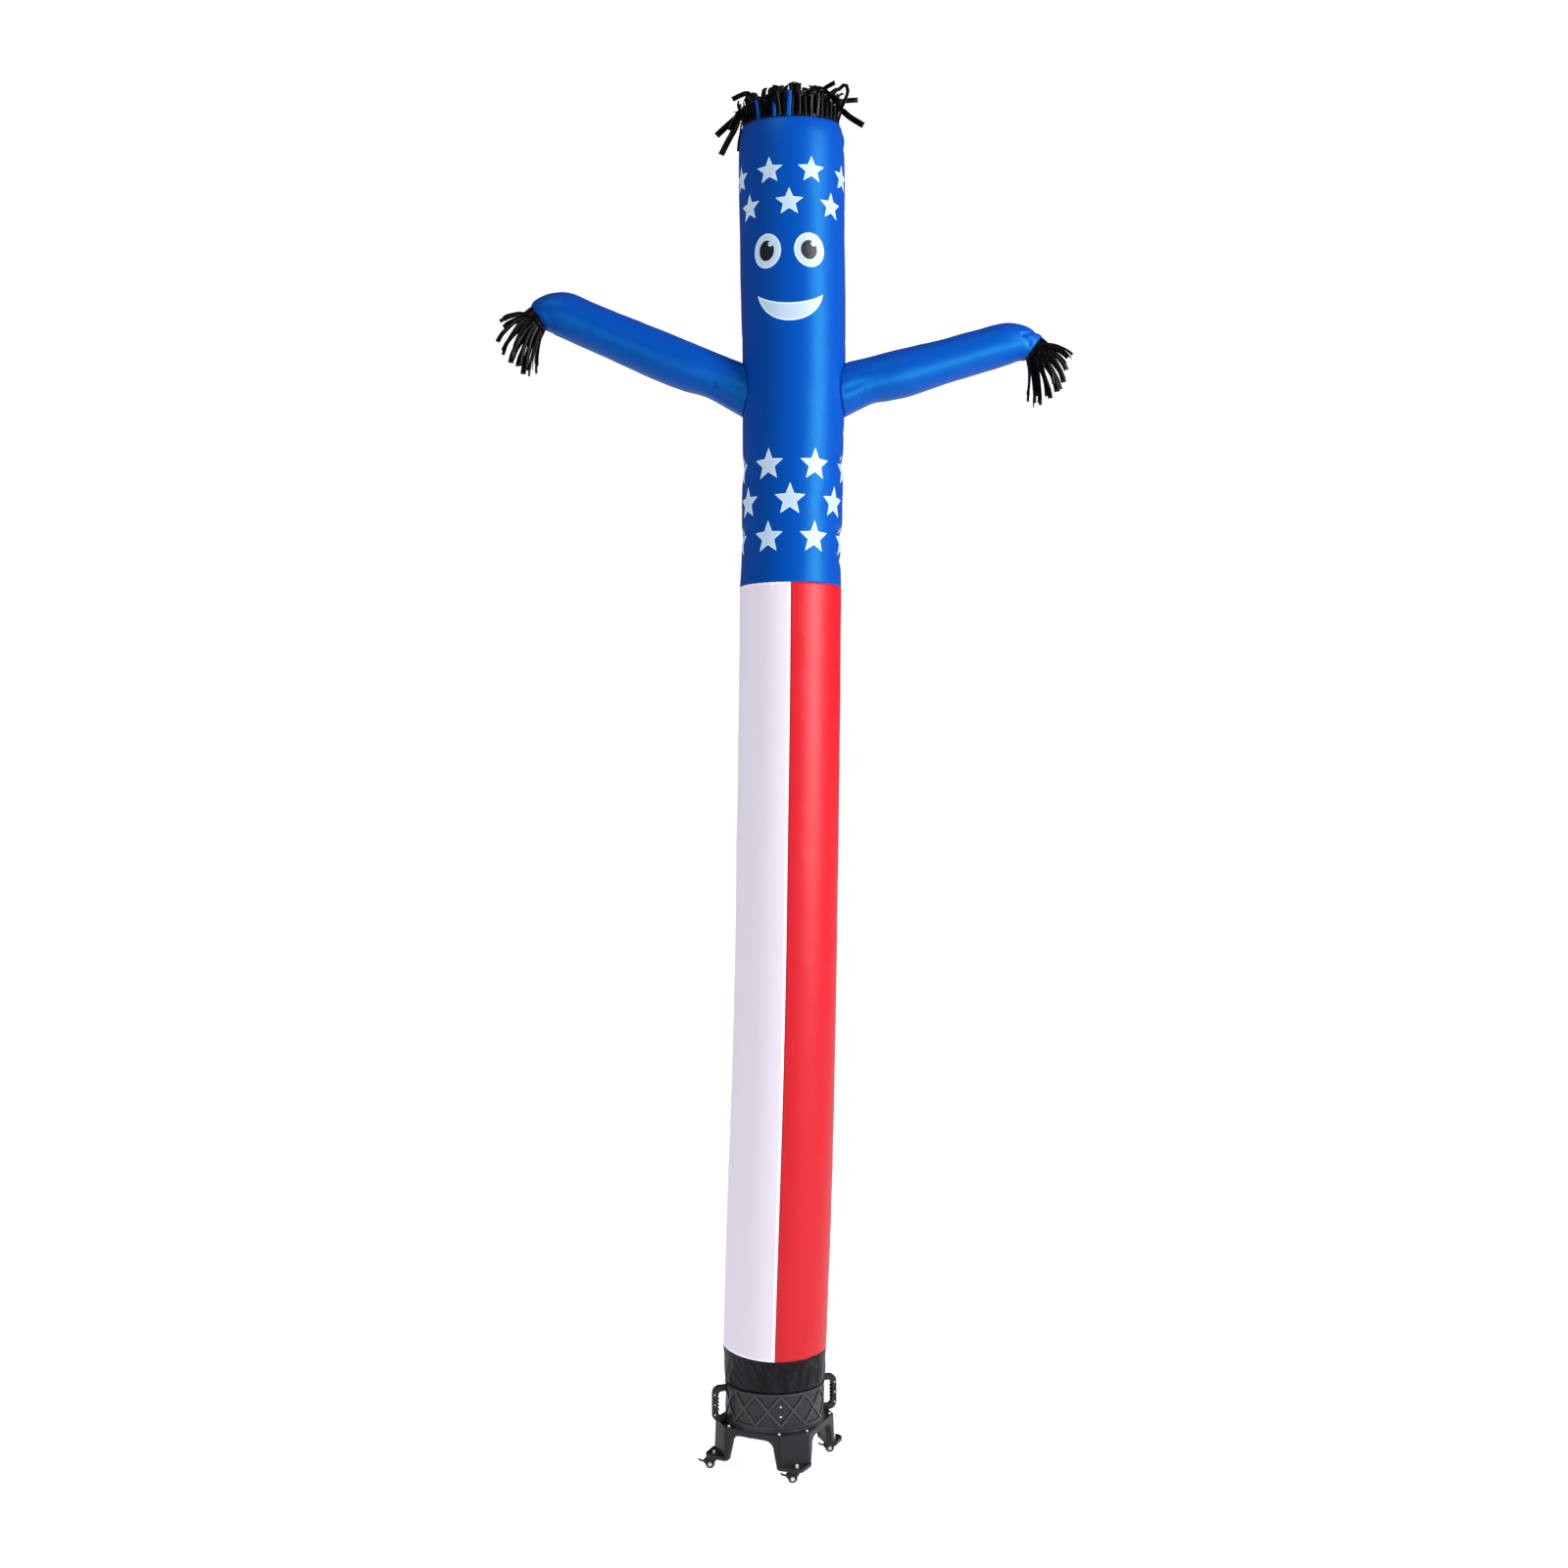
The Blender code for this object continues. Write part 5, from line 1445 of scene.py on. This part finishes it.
def make_casters():
    """Fork, tread, hub, brake lever and acorn nut of each caster."""
    tread, hub = wheel_outlines()
    for side, degrees in LEGS.items():
        stem = STAND_PLACE @ turned(degrees) @ moved(STEM_AT, 0, 0)
        foot = stem.to_translation()
        nut = acorn_nut(0.0085, 0.0070, 0.0170)
        nut.transform(moved(foot.x, foot.y, TRAY_FLOOR + FIT_GAP))
        post = bmesh.new()
        bmesh.ops.create_cone(
            post, cap_ends=True, segments=24, radius1=0.005, radius2=0.005, depth=0.020
        )
        post.transform(moved(foot.x, foot.y, POST_MIDDLE))
        new_piece(
            f"acorn_nut_{side}", put_together([nut, post]), "chrome_plate",
            stands_for=[f"caster_stem_{side}"], sharp=40,
        )
        for node, name, body, offset in (
            ("caster_fork", "fork", "swivel", 0.0009),
            ("brake_lever", "brake_pedal", "brake", 0.0006),
        ):
            softened(
                f"{node}_{side}", f"{name}_{side}", "caster_plastic",
                f"{body}_{side}", offset, 2, 30,
            )
        axle = moved(foot.x - TRAIL, foot.y, WHEEL_RADIUS) @ turned(90, "X")
        bm = turned_profile(tread, 64)
        bm.transform(axle)
        new_piece(
            f"tread_{side}", bm, "tread_rubber", body=f"wheel_{side}",
            stands_for=[f"caster_wheel_{side}"], sharp=40,
        )
        bm = turned_profile(hub, 48)
        bm.transform(axle)
        new_piece(f"hub_{side}", bm, "hub_plastic", body=f"wheel_{side}", sharp=40)
        caps = []
        for facing, flip in ((-1, 180), (1, 0)):
            cap = button_head(AXLE_CAP, 0.0032)
            cap.transform(axle @ moved(0, 0, facing * FORK_HALF) @ turned(flip, "X"))
            caps.append(cap)
        new_piece(
            f"axle_caps_{side}", put_together(caps), "chrome_plate",
            body=f"swivel_{side}", sharp=40,
        )


# ---------------------------------------------------------------- the studio
def make_floor():
    """A plain pale floor, evenly lit."""
    bm = bmesh.new()
    bmesh.ops.create_grid(bm, x_segments=1, y_segments=1, size=60)
    mesh = bpy.data.meshes.new("floor")
    bm.to_mesh(mesh)
    bm.free()
    made, tree, shader = new_material("studio_floor", "#F2F2F3", 0.90, Specular_IOR_Level=0.0)
    shader.inputs["Emission Color"].default_value = (1, 1, 1, 1)
    rays = add(tree, "LightPath")
    seen = rays.outputs["Is Camera Ray"]
    glow = add(tree, "MapRange", seen, sockets={"To Min": 0.24, "To Max": 0.86})
    tree.links.new(glow.outputs[0], shader.inputs["Emission Strength"])
    mesh.materials.append(made)
    ground = bpy.data.objects.new("floor", mesh)
    bpy.context.scene.collection.objects.link(ground)
    ground.location.z = -0.0002


def make_world():
    """A white studio: bright behind the object, softer as a light on it."""
    world = bpy.data.worlds.new("studio")
    bpy.context.scene.world = world
    world.use_nodes = True
    tree = world.node_tree
    tree.nodes.clear()
    seen = add(tree, "Background", (1, 1, 1, 1), 1.05)
    light = add(tree, "Background", (0.96, 0.98, 1.0, 1), 0.38)
    mirrored = add(tree, "Background", (0.96, 0.98, 1.0, 1), 0.09)
    rays = add(tree, "LightPath")
    unseen = add(tree, "MixShader", rays.outputs["Is Glossy Ray"], light, mirrored)
    both = add(tree, "MixShader", rays.outputs["Is Camera Ray"], unseen, seen)
    add(tree, "OutputWorld", both)
    bpy.context.scene.view_settings.view_transform = "Standard"


LAMPS = (  # name, place, aim, width, height, power, and whether it lights the arms alone
    ("key softbox", (5.40, -3.56, 5.7), (0, 0, 5.7), 2.0, 6.6, 640, False),
    ("right shine panel", (2.8, -6.5, 1.8), (0.7, 0, 4.88), 2.4, 1.0, 300, True),
    ("left shine panel", (-2.8, -6.5, 3.2), (-0.7, 0, 4.95), 2.4, 1.0, 55, True),
)


def make_light(name, place, aim, width, height, power):
    """A rectangular softbox that faces its aim."""
    lamp = bpy.data.lights.new(name, "AREA")
    lamp.shape = "RECTANGLE"
    lamp.size = width
    lamp.size_y = height
    lamp.energy = power
    lamp.color = (1.0, 0.985, 0.97)
    holder = bpy.data.objects.new(name, lamp)
    holder.location = place
    towards = Vector(aim) - Vector(place)
    holder.rotation_euler = towards.to_track_quat("-Z", "Y").to_euler()
    bpy.context.scene.collection.objects.link(holder)
    return holder


def make_lamps():
    """A tall softbox from the right, and a low panel for the streak along each arm."""
    arms = bpy.data.collections.new("arms")
    for name in ("left_arm_cloth", "right_arm_cloth"):
        arms.objects.link(bpy.data.objects[name])
    for *settings, arms_alone in LAMPS:
        holder = make_light(*settings)
        if arms_alone:
            holder.visible_diffuse = False
            holder.light_linking.receiver_collection = arms


def make_sun(name, azimuth, height, softness, strength):
    """Broad light from over the camera's shoulder; azimuth is to its left when negative."""
    lamp = bpy.data.lights.new(name, "SUN")
    lamp.angle = radians(softness)
    lamp.energy = strength
    holder = bpy.data.objects.new(name, lamp)
    side, rise = radians(azimuth), radians(height)
    from_where = Vector((sin(side) * cos(rise), -cos(side) * cos(rise), sin(rise)))
    holder.rotation_euler = (-from_where).to_track_quat("-Z", "Y").to_euler()
    bpy.context.scene.collection.objects.link(holder)


def make_camera():
    """Level with the middle of the figure, far enough back to take it all in."""
    lens = bpy.data.cameras.new("camera")
    lens.lens = 39.9
    lens.sensor_width = 36
    lens.shift_y = 0.01625
    lens.clip_end = 200
    eye = bpy.data.objects.new("camera", lens)
    eye.location = (0, -7.7, 2.88)
    eye.rotation_euler = (pi / 2, 0, 0)
    bpy.context.scene.collection.objects.link(eye)
    bpy.context.scene.camera = eye


DRESSED = bpy.data.collections.new("dressed_air_dancer")
bpy.context.scene.collection.children.link(DRESSED)
MATERIALS = make_materials()

make_ring()
make_stand()
make_handles()
make_deck_bolts()
make_boss()
make_casters()
make_sleeve()
make_panels()
make_body_tube()
make_arm("left_arm_cloth", "arm_left", LEFT_ARM, -1)
make_arm("right_arm_cloth", "arm_right", RIGHT_ARM, 1)
make_hair()
make_hand("left_hand_strips", "hand_left", LEFT_ARM, -1, LEFT_TIPS)
make_hand("right_hand_strips", "hand_right", RIGHT_ARM, 1, RIGHT_TIPS)

make_floor()
make_world()
make_lamps()
make_sun("fill", -35, 48, 24, 0.50)
make_camera()
